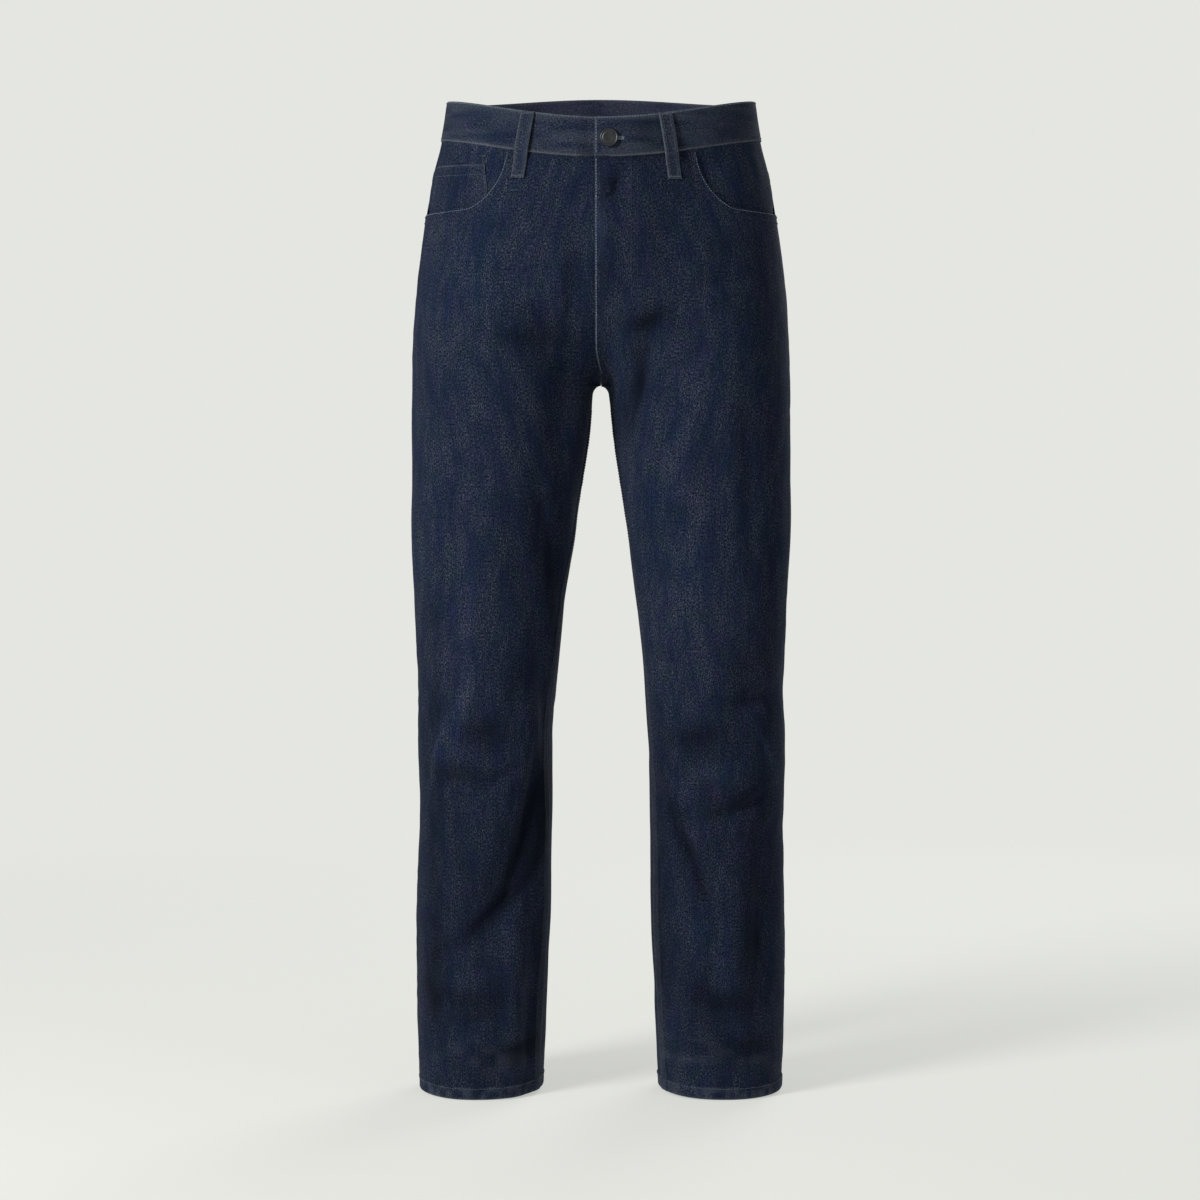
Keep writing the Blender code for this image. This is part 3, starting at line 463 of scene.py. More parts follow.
def painted_shade_and_dye_places(points):
    """How dark the cloth is painted, from -1 to 1: painted shade towards the hems, the table's painted shade
    and painted light, and random dye.
    """
    z = points[..., 2]
    # Painted shade that darkens the legs towards the hems, and random dye that differs in tone
    painted_shade_and_dye = 0.36 * smooth(-z, 0.48, 0.84) + 0.16 * noise(points, (0.026, 0.026, 0.050), 131)
    uneven = 1.0 + 0.35 * noise(points, (0.014, 0.014, 0.022), 133)
    # The table's painted shade and painted light
    for off, share, shade in streaks(points, PAINTED_SHADE_AND_LIGHT):
        painted_shade_and_dye = painted_shade_and_dye + shade["depth"] * share * uneven * np.exp(-(np.abs(off) ** 2.4))
    return np.clip(painted_shade_and_dye, -1.0, 1.0)


def surface(turn, z, offset=0.0):
    """Points of the creased skin moved outwards by offset, and the bare normals."""
    points, normals = bare(turn, z)
    move = fold_depth(points) + offset
    return points + normals * move[..., None], normals


def smooth(value, low, high):
    """From 0 at low to 1 at high, which may be the smaller one."""
    t = np.clip((value - low) / (high - low), 0.0, 1.0)
    return t * t * (3.0 - 2.0 * t)


def doubled(inside, half=0.0008):
    """From 0 to 1 over the edge of a second layer of cloth."""
    return smooth(inside, -half, half)


def bump_at(value, middle, width):
    return np.exp(-(((value - middle) / width) ** 2))


def front_width(z):
    return np.interp(z, HEIGHTS, FRONT_WIDTH)


def back_width(z):
    return np.interp(z, HEIGHTS, BACK_WIDTH)


def turn_at(distance, z, is_back=False):
    """The turn at which the skin is this far from the middle, on the front or the back."""
    turns = np.linspace(0.0, 1.0, 201)
    if is_back:
        turns = 2.0 - turns
    reach = bare(turns, float(z))[0][:, 0]
    return math.copysign(float(np.interp(abs(distance), reach, turns)), distance)


def band_top(turn):
    turn = np.abs(turn)
    lift = np.where(turn < 1.0, -FRONT_DIP, BACK_LIFT)
    return lift * np.cos(turn * math.pi / 2) ** 2


def band_seam(turn):
    return band_top(turn) - BAND_HEIGHT


def yoke_seam(turn):
    return YOKE_SIDE + (YOKE_MIDDLE - YOKE_SIDE) * (np.abs(turn) - 1.0)


def fly_lap(z):
    return FLY_LAP * np.clip((z - FLY_END) / FLY_TAPER, 0.0, 1.0)


def mouth_curve(count, inset=0.0):
    """Evenly spaced (turn, height) along a pocket mouth, or along a line that far inside it."""
    coarse = [(turn_at(x, z), z) for x, z in MOUTH]
    coarse[0] = (coarse[0][0], float(band_seam(coarse[0][0])))
    coarse = np.array(coarse + [(1.0, MOUTH_END)])
    knots = np.arange(len(coarse))
    fine = np.linspace(0, len(coarse) - 1, 160)
    turn = smooth_between(fine, knots[::-1], coarse[::-1, 0])
    z = smooth_between(fine, knots[::-1], coarse[::-1, 1])
    flat = np.stack([turn * MOUTH_WIDE, z], axis=1)
    run = np.gradient(flat, axis=0)
    run /= np.linalg.norm(run, axis=1)[:, None]
    flat = flat + inset * np.stack([run[:, 1], -run[:, 0]], axis=1)
    length = np.concatenate([[0.0], np.cumsum(np.linalg.norm(np.diff(flat, axis=0), axis=1))])
    even = np.linspace(0.0, length[-1], count)
    return np.interp(even, length, flat[:, 0]) / MOUTH_WIDE, np.interp(even, length, flat[:, 1])


MOUTH_WIDE, BAND_WIDE = float(front_width(-0.09)), float(front_width(-0.03))
YOKE_WIDE = float(back_width(-0.08))
BAND_FOOT = float(band_seam(0.0))

# How far the outside of a piece stands out from the skin, in the places where cloth lies double
FLAP_RISE, FLAP_REACH = 0.0016, 0.034
FELL_RISE, FELL_WIDTH = 0.0006, 0.0145


def puckers(turn, z, from_seam, seed):
    """Small pulls across a seam."""
    spot = np.stack([np.zeros_like(z), np.sign(turn) * np.ones_like(z), z], axis=-1)
    wave = noise(spot, (1.0, 0.5, 0.0085), seed) + 0.6 * noise(spot, (1.0, 0.5, 0.021), seed + 1)
    return wave * np.exp(-((from_seam / 0.010) ** 2))


def front_lift(side, turn, z):
    """On a front, whose turn is positive on its own side."""
    wide = front_width(z)
    from_inner, from_outer = turn * wide, (1.0 - turn) * wide
    on_leg = smooth(-z, -CROTCH_HEIGHT + 0.012, -CROTCH_HEIGHT + 0.045)
    lift = FELL_RISE * on_leg * doubled(FELL_WIDTH - from_inner, 0.0007)
    lift = lift + 0.00022 * on_leg * puckers(turn * side, z, from_inner - 0.006, 21)
    lift = lift + 0.00028 * puckers(turn * side, z, from_outer, 31)
    lift = lift + 0.0005 * bump_at(from_outer, 0.006, 0.004) * smooth(-z, 0.14, 0.20)
    on_body = smooth(z, CROTCH_HEIGHT - 0.002, CROTCH_HEIGHT + 0.02)
    lap = fly_lap(z)
    if side > 0:
        from_edge = from_inner + lap
        lift = lift + FLAP_RISE * on_body * (1.0 - smooth(from_edge, 0.002, FLAP_REACH))
        lift = lift + 0.00016 * on_body * puckers(turn, z, from_edge - 0.003, 41)
    else:
        lift = lift - 0.0004 * on_body * (1.0 - smooth(from_inner - lap, -0.003, 0.004))
    return lift + hem_lift(turn * side, z)


def hem_edge(turn):
    """The hem's lowest line."""
    return HEM_HEIGHT - HEM_TILT * np.sin(np.clip(np.abs(turn), 0.0, 2.0) * math.pi)


def hem_lift(turn, z):
    """The turned-up hem, with its ropelike twist."""
    above = z - hem_edge(turn)
    on_hem = doubled(HEM_FOLD - above, 0.0006)
    around = np.abs(turn) * 0.2 + np.sign(turn) * 3.0
    slant = np.stack([around - 0.7 * above, np.zeros_like(z), np.zeros_like(z)], axis=-1)
    twist = noise(slant, (0.0065, 1.0, 1.0), 51) + 0.5 * noise(slant, (0.013, 1.0, 1.0), 52)
    puff = np.sin(np.clip(above / HEM_FOLD, 0.0, 1.0) * math.pi) ** 0.7
    pulled = np.exp(-((above - HEM_FOLD - 0.003) / 0.006) ** 2) * (above > HEM_FOLD)
    return on_hem * (HEM_PROUD + 0.00042 * puff * twist) - 0.00025 * pulled * (1.0 + twist)


def back_lift(side, turn, z):
    """On a back, whose turn is positive on its own side."""
    wide = back_width(z)
    from_inner, from_outer = (2.0 - turn) * wide, (turn - 1.0) * wide
    on_leg = smooth(-z, -CROTCH_HEIGHT, -CROTCH_HEIGHT + 0.05)
    lift = 0.00022 * puckers(turn * side, z, from_inner, 61)
    lift = lift + 0.00028 * puckers(turn * side, z, from_outer, 31)
    on_body = 1.0 - on_leg
    if side > 0:
        lift = lift + FELL_RISE * on_body * doubled(FELL_WIDTH - from_inner, 0.0007)
    return lift + hem_lift(turn * side, z)


# ---- Meshes ----


def spaced(length, step, fine=(0.0, 0.0004, 0.0011, 0.0024)):
    """Shares of a length, close together near both ends and a step apart between."""
    count = max(2, int(round((length - 2 * fine[-1]) / step)))
    middle = np.linspace(fine[-1], length - fine[-1], count + 1)
    ends = np.array(fine[:-1])
    return np.concatenate([ends, middle, length - ends[::-1]]) / length


def make_mesh(name, points, faces, material_index, materials, uv=None, floats=None):
    mesh = bpy.data.meshes.new(name)
    counts = np.array([len(face) for face in faces])
    corners = np.concatenate(faces)
    starts = np.concatenate([[0], np.cumsum(counts)[:-1]])
    mesh.vertices.add(len(points))
    mesh.loops.add(len(corners))
    mesh.polygons.add(len(counts))
    for items, key, values, kind in (
        (mesh.vertices, "co", points, np.float32), (mesh.loops, "vertex_index", corners, np.int32),
        (mesh.polygons, "loop_start", starts, np.int32), (mesh.polygons, "loop_total", counts, np.int32),
    ):
        items.foreach_set(key, np.asarray(values, kind).ravel())
    for material in materials:
        mesh.materials.append(material)
    mesh.polygons.foreach_set("material_index", np.asarray(material_index, np.int32))
    mesh.polygons.foreach_set("use_smooth", np.ones(len(counts), bool))
    if uv is not None:
        layer = mesh.uv_layers.new(name="cloth")
        layer.data.foreach_set("uv", np.asarray(uv, np.float32)[corners].ravel())
    for key, values in (floats or {}).items():
        attribute = mesh.attributes.new(key, "FLOAT", "POINT")
        attribute.data.foreach_set("value", np.asarray(values, np.float32))
    mesh.update(calc_edges=True)
    mesh.validate()
    made = bpy.data.objects.new(name, mesh)
    bpy.context.scene.collection.objects.link(made)
    return made


def running(points, axis):
    steps = np.linalg.norm(np.diff(points, axis=axis), axis=-1)
    total = np.cumsum(steps, axis=axis)
    pad = [(0, 0), (0, 0)]
    pad[axis] = (1, 0)
    return np.pad(total, pad)


def cloth(
    name, node, turns, heights, lift, wall=WALL, thick=0.0, wear=0.0, round_at=None, along=False,
    painted_shade=0.0, materials=None,
):
    """A thin shell on the creased skin. Lift moves both faces, and thick is added on the inside."""
    turns, heights = (np.array(value, float) for value in np.broadcast_arrays(turns, heights))
    points, normals = bare(turns, heights)
    u, v = running(points, 1), running(points, 0)
    edge = np.minimum.reduce([u, u[:, -1:] - u, v, v[-1:, :] - v])
    radius = 0.5 * wall if round_at is None else round_at
    drop = radius * (1.0 - np.sqrt(np.maximum(1.0 - (1.0 - np.clip(edge / radius, 0.0, 1.0)) ** 2, 0.0)))
    moved = fold_depth(points) + lift
    outer = points + normals * (moved - drop)[..., None]
    inner = points + normals * (moved - wall - thick + 0.6 * drop)[..., None]
    rows, columns = turns.shape
    index = np.arange(rows * columns).reshape(rows, columns)
    quads = [index[:-1, :-1], index[1:, :-1], index[1:, 1:], index[:-1, 1:]]
    top = np.stack(quads, axis=-1).reshape(-1, 4)
    face_normal = np.cross(outer[1:, :-1] - outer[:-1, :-1], outer[:-1, 1:] - outer[:-1, :-1])
    flipped = (face_normal * normals[:-1, :-1]).sum() < 0
    if flipped:
        top = top[:, ::-1]
    under = top[:, ::-1] + rows * columns
    loop = np.concatenate([index[0, :], index[1:, -1], index[-1, -2::-1], index[-2:0:-1, 0]])
    following = np.roll(loop, -1)
    rim = np.stack([loop, following, following + rows * columns, loop + rows * columns], axis=-1)
    if flipped:
        rim = rim[:, ::-1]
    faces = np.concatenate([top, under, rim])
    which = np.concatenate([np.zeros(len(top)), np.ones(len(under)), np.zeros(len(rim))])
    wide = np.where(np.abs(turns) < 1.0, front_width(heights), back_width(heights))
    shift = 0.37 * len(name)
    across = (np.abs(turns) - 1.0) * wide * np.sign(turns) + shift
    uv = np.tile(np.stack([v + shift, u] if along else [across, -heights], axis=-1).reshape(-1, 2), (2, 1))
    frayed = np.exp(-edge / 0.0009) * (0.55 + 0.45 * noise(points, 0.004, 77))
    # The cloth's attribute carries painted shade and painted light with random dye; wear lightens its edges
    floats = {"wear": np.clip(frayed + wear, 0.0, 1.0), "painted_shade_and_dye": painted_shade_and_dye_places(points) + painted_shade}
    made = make_mesh(
        name, np.concatenate([outer.reshape(-1, 3), inner.reshape(-1, 3)]), faces, which,
        materials or CLOTH, uv, {key: np.tile(values.ravel(), 2) for key, values in floats.items()},
    )
    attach(made, "root")
    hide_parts(node)
    return made


# A stitch: rings along it, as share of its half length, share of its half width, and height
STITCH_RINGS = (
    (-1.0, 0.45, -0.9), (-0.62, 0.95, 0.15), (0.0, 1.0, 0.35), (0.62, 0.95, 0.15), (1.0, 0.45, -0.9),
)
STITCH_SIDES = 5


def tube_faces(rings, sides):
    """Faces between rings of points, then one over each end."""
    faces = []
    for ring in range(0, (rings - 1) * sides, sides):
        for i in range(sides):
            a, b = ring + i, ring + (i + 1) % sides
            faces.append((a, b, b + sides, a + sides))
    last = (rings - 1) * sides
    return [*faces, tuple(range(sides))[::-1], tuple(range(last, last + sides))]


def thread_template():
    angles = np.linspace(0.0, 2 * math.pi, STITCH_SIDES, endpoint=False) + math.pi / 2
    points = [
        (along, share * math.cos(a), height + 0.8 * share * math.sin(a))
        for along, share, height in STITCH_RINGS
        for a in angles
    ]
    return np.array(points), tube_faces(len(STITCH_RINGS), STITCH_SIDES)


def threads(name, places, material):
    """One mesh of many stitches. A place holds middles, runs, normals, a half length and a half width."""
    shape, faces = thread_template()
    middle, run, normal = (np.concatenate([place[i] for place in places]) for i in range(3))
    half_length, half_width = (
        np.concatenate([np.full((len(place[0]), 1, 1), place[i]) for place in places]) for i in (3, 4)
    )
    run = run / np.linalg.norm(run, axis=1)[:, None]
    across = np.cross(normal, run)
    across /= np.linalg.norm(across, axis=1)[:, None]
    normal = np.cross(run, across)
    points = middle[:, None, :] + (
        shape[None, :, 0, None] * half_length * run[:, None, :]
        + shape[None, :, 1, None] * half_width * across[:, None, :]
        + shape[None, :, 2, None] * half_width * normal[:, None, :]
    )
    count = len(shape)
    all_faces = [np.array(face) + i * count for i in range(len(middle)) for face in faces]
    tone = np.repeat(np.random.default_rng(5).random(len(middle)), count)
    made = make_mesh(
        name, points.reshape(-1, 3), all_faces, np.zeros(len(all_faces)), (material,), None, {"tone": tone}
    )
    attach(made, "root")


def row(turn, z, lift, pitch=0.0031, length=0.0024, width=0.00055, skip=0.0):
    """Stitches along a line of the skin. Lift may be a number or a function of turn and height."""
    turn, z = (np.asarray(value, float) for value in np.broadcast_arrays(turn, z))
    fine = np.linspace(0.0, 1.0, 12 * len(turn))
    knots = np.linspace(0.0, 1.0, len(turn))
    turn, z = np.interp(fine, knots, turn), np.interp(fine, knots, z)
    points = bare(turn, z)[0]
    along = np.concatenate([[0.0], np.cumsum(np.linalg.norm(np.diff(points, axis=0), axis=1))])
    count = max(1, int((along[-1] - 2 * skip) / pitch))
    middles = skip + (np.arange(count) + 0.5) * (along[-1] - 2 * skip) / count

    def at(place):
        t, h = np.interp(place, along, turn), np.interp(place, along, z)
        return surface(t, h, lift(t, h) if callable(lift) else lift)

    middle, normal = at(middles)
    run = at(middles + 0.0008)[0] - at(middles - 0.0008)[0]
    # the stitches of a row lean a little in turn
    side = np.cross(normal, run)
    run = run + 0.06 * side * np.where(np.arange(count) % 2, 1.0, -1.0)[:, None]
    return middle + normal * 0.00008, run, normal, length / 2, width / 2


def bar(turn_a, z_a, turn_b, z_b, lift, width=0.0024, count=9):
    """A bartack: threads side by side across a short line."""
    t, h = np.linspace(turn_a, turn_b, count), np.linspace(z_a, z_b, count)
    middle, normal = surface(t, h, lift + 0.0002)
    along = middle[-1] - middle[0]
    run = np.cross(normal, along / np.linalg.norm(along))
    step = np.linalg.norm(along) / (count - 1)
    return middle, run, normal, width / 2, step * 0.62


# ---- Materials ----


def nodes_of(name):
    material = bpy.data.materials.new(name)
    material.use_nodes = True
    return material, material.node_tree


def feed(tree, socket, value):
    """Link a socket, or set it. A colour may be given without its alpha."""
    if isinstance(value, bpy.types.NodeSocket):
        tree.links.new(value, socket)
    else:
        socket.default_value = (*value, 1.0) if socket.type == "RGBA" else value


def new(tree, kind, inputs=None, **settings):
    node = tree.nodes.new(kind)
    for key, value in settings.items():
        setattr(node, key, value)
    for key, value in (inputs or {}).items():
        feed(tree, node.inputs[key], value)
    return node


def mix(tree, factor, a, b, blend="MIX"):
    settings = {"data_type": "RGBA", "blend_type": blend, "clamp_result": False}
    return new(tree, "ShaderNodeMix", {0: factor, 6: a, 7: b}, **settings).outputs[2]


def maths(tree, operation, a, b, clamp=False):
    return new(tree, "ShaderNodeMath", {0: a, 1: b}, operation=operation, use_clamp=clamp).outputs[0]


def times(tree, first, *others, clamp=False):
    for i, other in enumerate(others):
        first = maths(tree, "MULTIPLY", first, other, clamp and i == len(others) - 1)
    return first


def fractal(tree, vector, scale, detail=2.0, rough=0.5):
    inputs = {"Vector": vector, "Scale": scale, "Detail": detail, "Roughness": rough}
    return new(tree, "ShaderNodeTexNoise", inputs).outputs[0]


def attribute(tree, name):
    return new(tree, "ShaderNodeAttribute", attribute_name=name).outputs["Fac"]


def object_place(tree):
    return new(tree, "ShaderNodeTexCoord").outputs["Object"]


def dress(tree, bump, inputs):
    """Give the shader a bump, of some strength, distance and height, and its other inputs."""
    bump = new(tree, "ShaderNodeBump", dict(zip(("Strength", "Distance", "Height"), bump)))
    for key, value in {"Normal": bump.outputs[0], **inputs}.items():
        feed(tree, tree.nodes["Principled BSDF"].inputs[key], value)


def ranged(tree, value, low, high, out_low=0.0, out_high=1.0):
    inputs = {0: value, 1: low, 2: high, 3: out_low, 4: out_high}
    return new(tree, "ShaderNodeMapRange", inputs, clamp=True).outputs[0]


def denim(name, navy, violet, teal, speck, pale):
    """Dark twill: violet and teal casts, light specks gathered in bands down the warp, rubbed edges, and the
    painted shade and painted light that the cloth carries, with random dye.
    """
    material, tree = nodes_of(name)
    uv = new(tree, "ShaderNodeUVMap", uv_map="cloth").outputs[0]

    def texture(stretch, size, detail=2.0, rough=0.6):
        mapped = new(tree, "ShaderNodeMapping", {0: uv, 3: (1.0, stretch, 1.0)}).outputs[0]
        return fractal(tree, mapped, size, detail, rough)

    def weighed(value, low, high):
        return ranged(tree, value, 0.0, 1.0, low, high)

    grain = texture(0.60, 760.0, 3.0, 0.75)
    yarn = ranged(tree, texture(0.09, 520.0), 0.40, 0.62)
    band = ranged(tree, texture(0.30, 58.0, 4.0), 0.38, 0.62)
    cast = ranged(tree, texture(0.55, 17.0), 0.40, 0.60)
    blot = ranged(tree, texture(0.75, 62.0, 3.0), 0.36, 0.64)
    slanted = new(tree, "ShaderNodeMapping", {0: uv, 2: (0.0, 0.0, math.radians(-62.0))}).outputs[0]
    wave = {"Vector": slanted, "Scale": 172.0, "Distortion": 1.2, "Detail": 1.0, "Detail Scale": 1.5}
    twill = new(tree, "ShaderNodeTexWave", wave, wave_type="BANDS", bands_direction="X").outputs[1]
    painted_shade_and_dye, wear = attribute(tree, "painted_shade_and_dye"), attribute(tree, "wear")
    # The weave's grey is darkened by painted shade and lightened by painted light from the attribute, along
    # with random dye
    shade = times(
        tree, weighed(yarn, 0.82, 1.12), weighed(twill, 0.88, 1.08),
        ranged(tree, grain, 0.36, 0.64, 0.30, 1.70), ranged(tree, painted_shade_and_dye, -1.0, 1.0, 1.75, 0.30),
    )
    grey = new(tree, "ShaderNodeCombineColor", {0: shade, 1: shade, 2: shade}).outputs[0]
    # Light specks thin out under the painted shade
    light = times(
        tree, ranged(tree, grain, 0.48, 0.62), weighed(band, 0.16, 1.0), weighed(yarn, 0.55, 1.0),
        ranged(tree, painted_shade_and_dye, -1.0, 1.0, 1.6, 0.1), clamp=True,
    )
    colour = mix(tree, cast, violet, navy)
    colour = mix(tree, weighed(blot, 0.0, 0.75), colour, teal)
    colour = mix(tree, 1.0, colour, grey, "MULTIPLY")
    colour = mix(tree, light, colour, speck)
    colour = mix(tree, times(tree, wear, ranged(tree, grain, 0.3, 0.7, 0.45, 1.0), clamp=True), colour, pale)
    height = maths(tree, "ADD", times(tree, twill, 0.5), times(tree, grain, 0.9))
    height = maths(tree, "ADD", height, times(tree, yarn, 0.4))
    dress(tree, (0.6, 0.00030, height), {
        "Base Color": colour, "Roughness": ranged(tree, light, 0.0, 1.0, 0.95, 0.85),
        "Specular IOR Level": 0.10, "Sheen Weight": 0.04, "Sheen Roughness": 0.5,
        "Sheen Tint": (0.50, 0.60, 0.85),
    })
    return material


def thread(name, dark, light):
    material, tree = nodes_of(name)
    twist = fractal(tree, object_place(tree), 2600.0, 1.0)
    level = maths(tree, "ADD", times(tree, attribute(tree, "tone"), 0.6), times(tree, twist, 0.5), True)
    dress(tree, (0.4, 0.0001, twist), {
        "Base Color": mix(tree, level, dark, light), "Roughness": 0.7, "Specular IOR Level": 0.3,
        "Sheen Weight": 0.15,
    })
    return material


def tape(name, dark, light):
    material, tree = nodes_of(name)
    uv = new(tree, "ShaderNodeUVMap", uv_map="cloth").outputs[0]
    squares = {"Vector": uv, "Color1": dark, "Color2": light, "Scale": 1500.0}
    weave = new(tree, "ShaderNodeTexChecker", squares).outputs
    blotch = times(tree, fractal(tree, uv, 400.0), 0.5)
    inputs = {"Base Color": mix(tree, blotch, weave[0], dark), "Roughness": 0.85}
    dress(tree, (0.3, 0.0001, weave[1]), inputs)
    return material


def metal(name, dark, light, rough):
    """Dark burnished metal with fine pits and rubbed high spots."""
    material, tree = nodes_of(name)
    spot = object_place(tree)
    fine, broad = fractal(tree, spot, 1700.0, 3.0), fractal(tree, spot, 260.0)
    level = times(tree, ranged(tree, fine, 0.3, 0.7), ranged(tree, broad, 0.3, 0.7, 0.5, 1.0))
    dress(tree, (0.35, 0.00008, fine), {
        "Base Color": mix(tree, level, dark, light), "Metallic": 0.85,
        "Roughness": ranged(tree, fine, 0.3, 0.7, rough - 0.08, rough + 0.10),
    })
    return material


DENIM = denim(
    "denim_outside", (0.0060, 0.0122, 0.0400), (0.0092, 0.0118, 0.0410), (0.0044, 0.0145, 0.0300),
    (0.0820, 0.0900, 0.0980), (0.125, 0.142, 0.172),
)
INSIDE = denim(
    "denim_inside", (0.0140, 0.0200, 0.0500), (0.0185, 0.0190, 0.0500), (0.0110, 0.0195, 0.0400),
    (0.0700, 0.0760, 0.0900), (0.100, 0.110, 0.140),
)
LIGHT_THREAD = thread("thread_light", (0.050, 0.078, 0.120), (0.190, 0.245, 0.310))
MIDDLE_THREAD = thread("thread_middle", (0.026, 0.040, 0.068), (0.080, 0.105, 0.150))
DARK_THREAD = thread("thread_dark", (0.0045, 0.0075, 0.0150), (0.0200, 0.0270, 0.0460))
TAPE = tape("zip_tape", (0.010, 0.012, 0.018), (0.020, 0.023, 0.032))
METAL = metal("button_metal", (0.030, 0.033, 0.037), (0.105, 0.112, 0.122), 0.42)
CLOTH = (DENIM, INSIDE)

GRID, FINE_GRID = 0.0036, 0.0030
SEAM_ALLOWANCE, YOKE_FELL, SEWN_ROUND = 0.0095, 0.0105, 0.0007


# ---- Fronts, backs and yokes ----

UNDER_FLAP = 0.0095  # how far the right front runs on under the left front's flap
# Edges that meet in the middle touch, others reach a little into each other, and the waistband
# takes in the tops below it
TOUCHING, OVER, TUCKED = 0.00001, 0.00015, 0.0016
NEAR_SEAM = (0.0, 0.0004, 0.0011, 0.0024, 0.0055, 0.0090, 0.0120, 0.0137, 0.0145, 0.0153, 0.0185)
FAR_SEAM = (0.0, 0.0004, 0.0011, 0.0024, 0.0055, 0.0090)
CROTCH_ROWS = (
    0.011, 0.0075, 0.0045, 0.0025, 0.001, 0.0, -0.0005, -0.0015, -0.003, -0.005, -0.0075, -0.011, -0.015,
)


def leg_heights():
    z = np.arange(MOUTH_END, HEM_HEIGHT + HEM_FOLD + 0.002, -GRID)
    z = z[np.abs(z - CROTCH_HEIGHT) > 0.017]
    near_crotch = CROTCH_HEIGHT + np.array(CROTCH_ROWS)
    fold = HEM_HEIGHT + HEM_FOLD + np.array([0.0012, 0.0005, 0.0, -0.0005, -0.0012])
    hem = HEM_HEIGHT + np.array([0.0100, 0.0078, 0.0056, 0.0038, 0.0024, 0.0011, 0.0004, 0.0])
    return np.sort(np.concatenate([z, near_crotch, fold, hem]))[::-1]


def panel_grid(side, is_back):
    """Turns, positive on the panel's own side, and heights of a front's or a back's grid."""
    legs = leg_heights()
    if is_back:
        count = int(round((YOKE_SIDE - MOUTH_END) / GRID)) + 1
        share = np.concatenate([[0.0, 0.010, 0.028, 0.06], np.linspace(0.12, 1.0, count)[:-1]])
        end_turn = np.ones(len(share))
        end_z = YOKE_SIDE + (MOUTH_END - YOKE_SIDE) * share
        start_z = YOKE_MIDDLE + (MOUTH_END - YOKE_MIDDLE) * share
    else:
        count = 34
        share = np.concatenate([[0.0, 0.006, 0.016, 0.034], np.linspace(0.06, 1.0, count)[:-1]])
        start_z = BAND_FOOT + (MOUTH_END - BAND_FOOT) * share
        mouth_turn, mouth_z = mouth_curve(200)
        even = np.linspace(0.0, 1.0, 200)
        end_turn, end_z = np.interp(share, even, mouth_turn), np.interp(share, even, mouth_z)
    start_z = np.concatenate([start_z, legs])
    end_turn = np.concatenate([end_turn, np.ones(len(legs))])
    end_z = np.concatenate([end_z, legs])
    wide = (back_width if is_back else front_width)(0.5 * (start_z + end_z))
    far = (2.0 - end_turn if is_back else end_turn) + OVER / wide
    lap = np.zeros(len(wide))
    if not is_back:
        on_fly = np.clip((start_z - FLY_END) / FLY_TAPER, 0.0, 1.0)
        lap = -FLY_LAP * on_fly if side > 0 else (FLY_LAP - UNDER_FLAP) * on_fly
    near = (TOUCHING + lap) / wide
    length = (far - near) * wide
    columns = int(round(0.20 / GRID))
    middle = np.linspace(0.0, 1.0, columns)[None, :]
    first, last = np.array(NEAR_SEAM), np.array(FAR_SEAM)[::-1]
    inside = NEAR_SEAM[-1] + 0.002
    outside = length[:, None] - FAR_SEAM[-1] - 0.002
    places = np.concatenate([
        np.broadcast_to(first, (len(wide), len(first))),
        inside + (outside - inside) * middle,
        length[:, None] - last[None, :],
    ], axis=1)
    share = near[:, None] + places / wide[:, None]
    across = places / length[:, None]
    turns = 2.0 - share if is_back else share
    heights = start_z[:, None] + (end_z - start_z)[:, None] * across
    top = yoke_seam(turns[0]) + OVER if is_back else band_seam(turns[0]) + TUCKED
    shift = (top - heights[0])[None, :] * np.clip(1.0 - (heights[0] - heights) / 0.03, 0.0, 1.0)
    heights = heights + shift
    low = np.clip((HEM_TILT_TOP - heights) / (HEM_TILT_TOP - HEM_HEIGHT), 0.0, 1.0)
    return turns, heights - HEM_TILT * np.sin(turns * math.pi) * low


def mouth_distance(turn, z):
    """How far inside the pocket mouth a place of the front is."""
    mouth_turn, mouth_z = mouth_curve(70)
    away = np.full(turn.shape, 1.0)
    near = z > -0.16
    for t, h in zip(mouth_turn, mouth_z):
        away[near] = np.minimum(away[near], np.hypot((turn[near] - t) * MOUTH_WIDE, z[near] - h))
    return away


def worn_places(turn, z):
    """Where the cloth is rubbed lighter: the hems and a faint band just above them."""
    above = z - hem_edge(turn)
    spots = np.stack([np.abs(turn) * 0.2, np.sign(turn), z], axis=-1)
    hem = smooth(HEM_FOLD - above, -0.001, 0.001) * (0.10 + 0.22 * noise(spots, (0.005, 1.0, 0.009), 91))
    above_hem = bump_at(above, 0.045, 0.022) * np.clip(noise(spots, (0.016, 1.0, 0.012), 93), 0.0, 1.0)
    return np.clip(hem, 0.0, 1.0) + 0.16 * above_hem


def fell_wear(distance, width, turn, z, amount):
    """Small light bumps on a felled seam."""
    spots = np.stack([distance, np.sign(turn) + 3.0 * np.round(np.abs(turn) / 2), z], axis=-1)
    bumps = 0.5 + 0.5 * noise(spots, (0.006, 1.0, 0.007), 95)
    return amount * smooth(width - distance, -0.0005, 0.0015) * (0.35 + 0.65 * bumps)


def hem_inside(turns, heights):
    return HEM_INSIDE * doubled(HEM_FOLD - (heights - hem_edge(turns)), 0.0006)


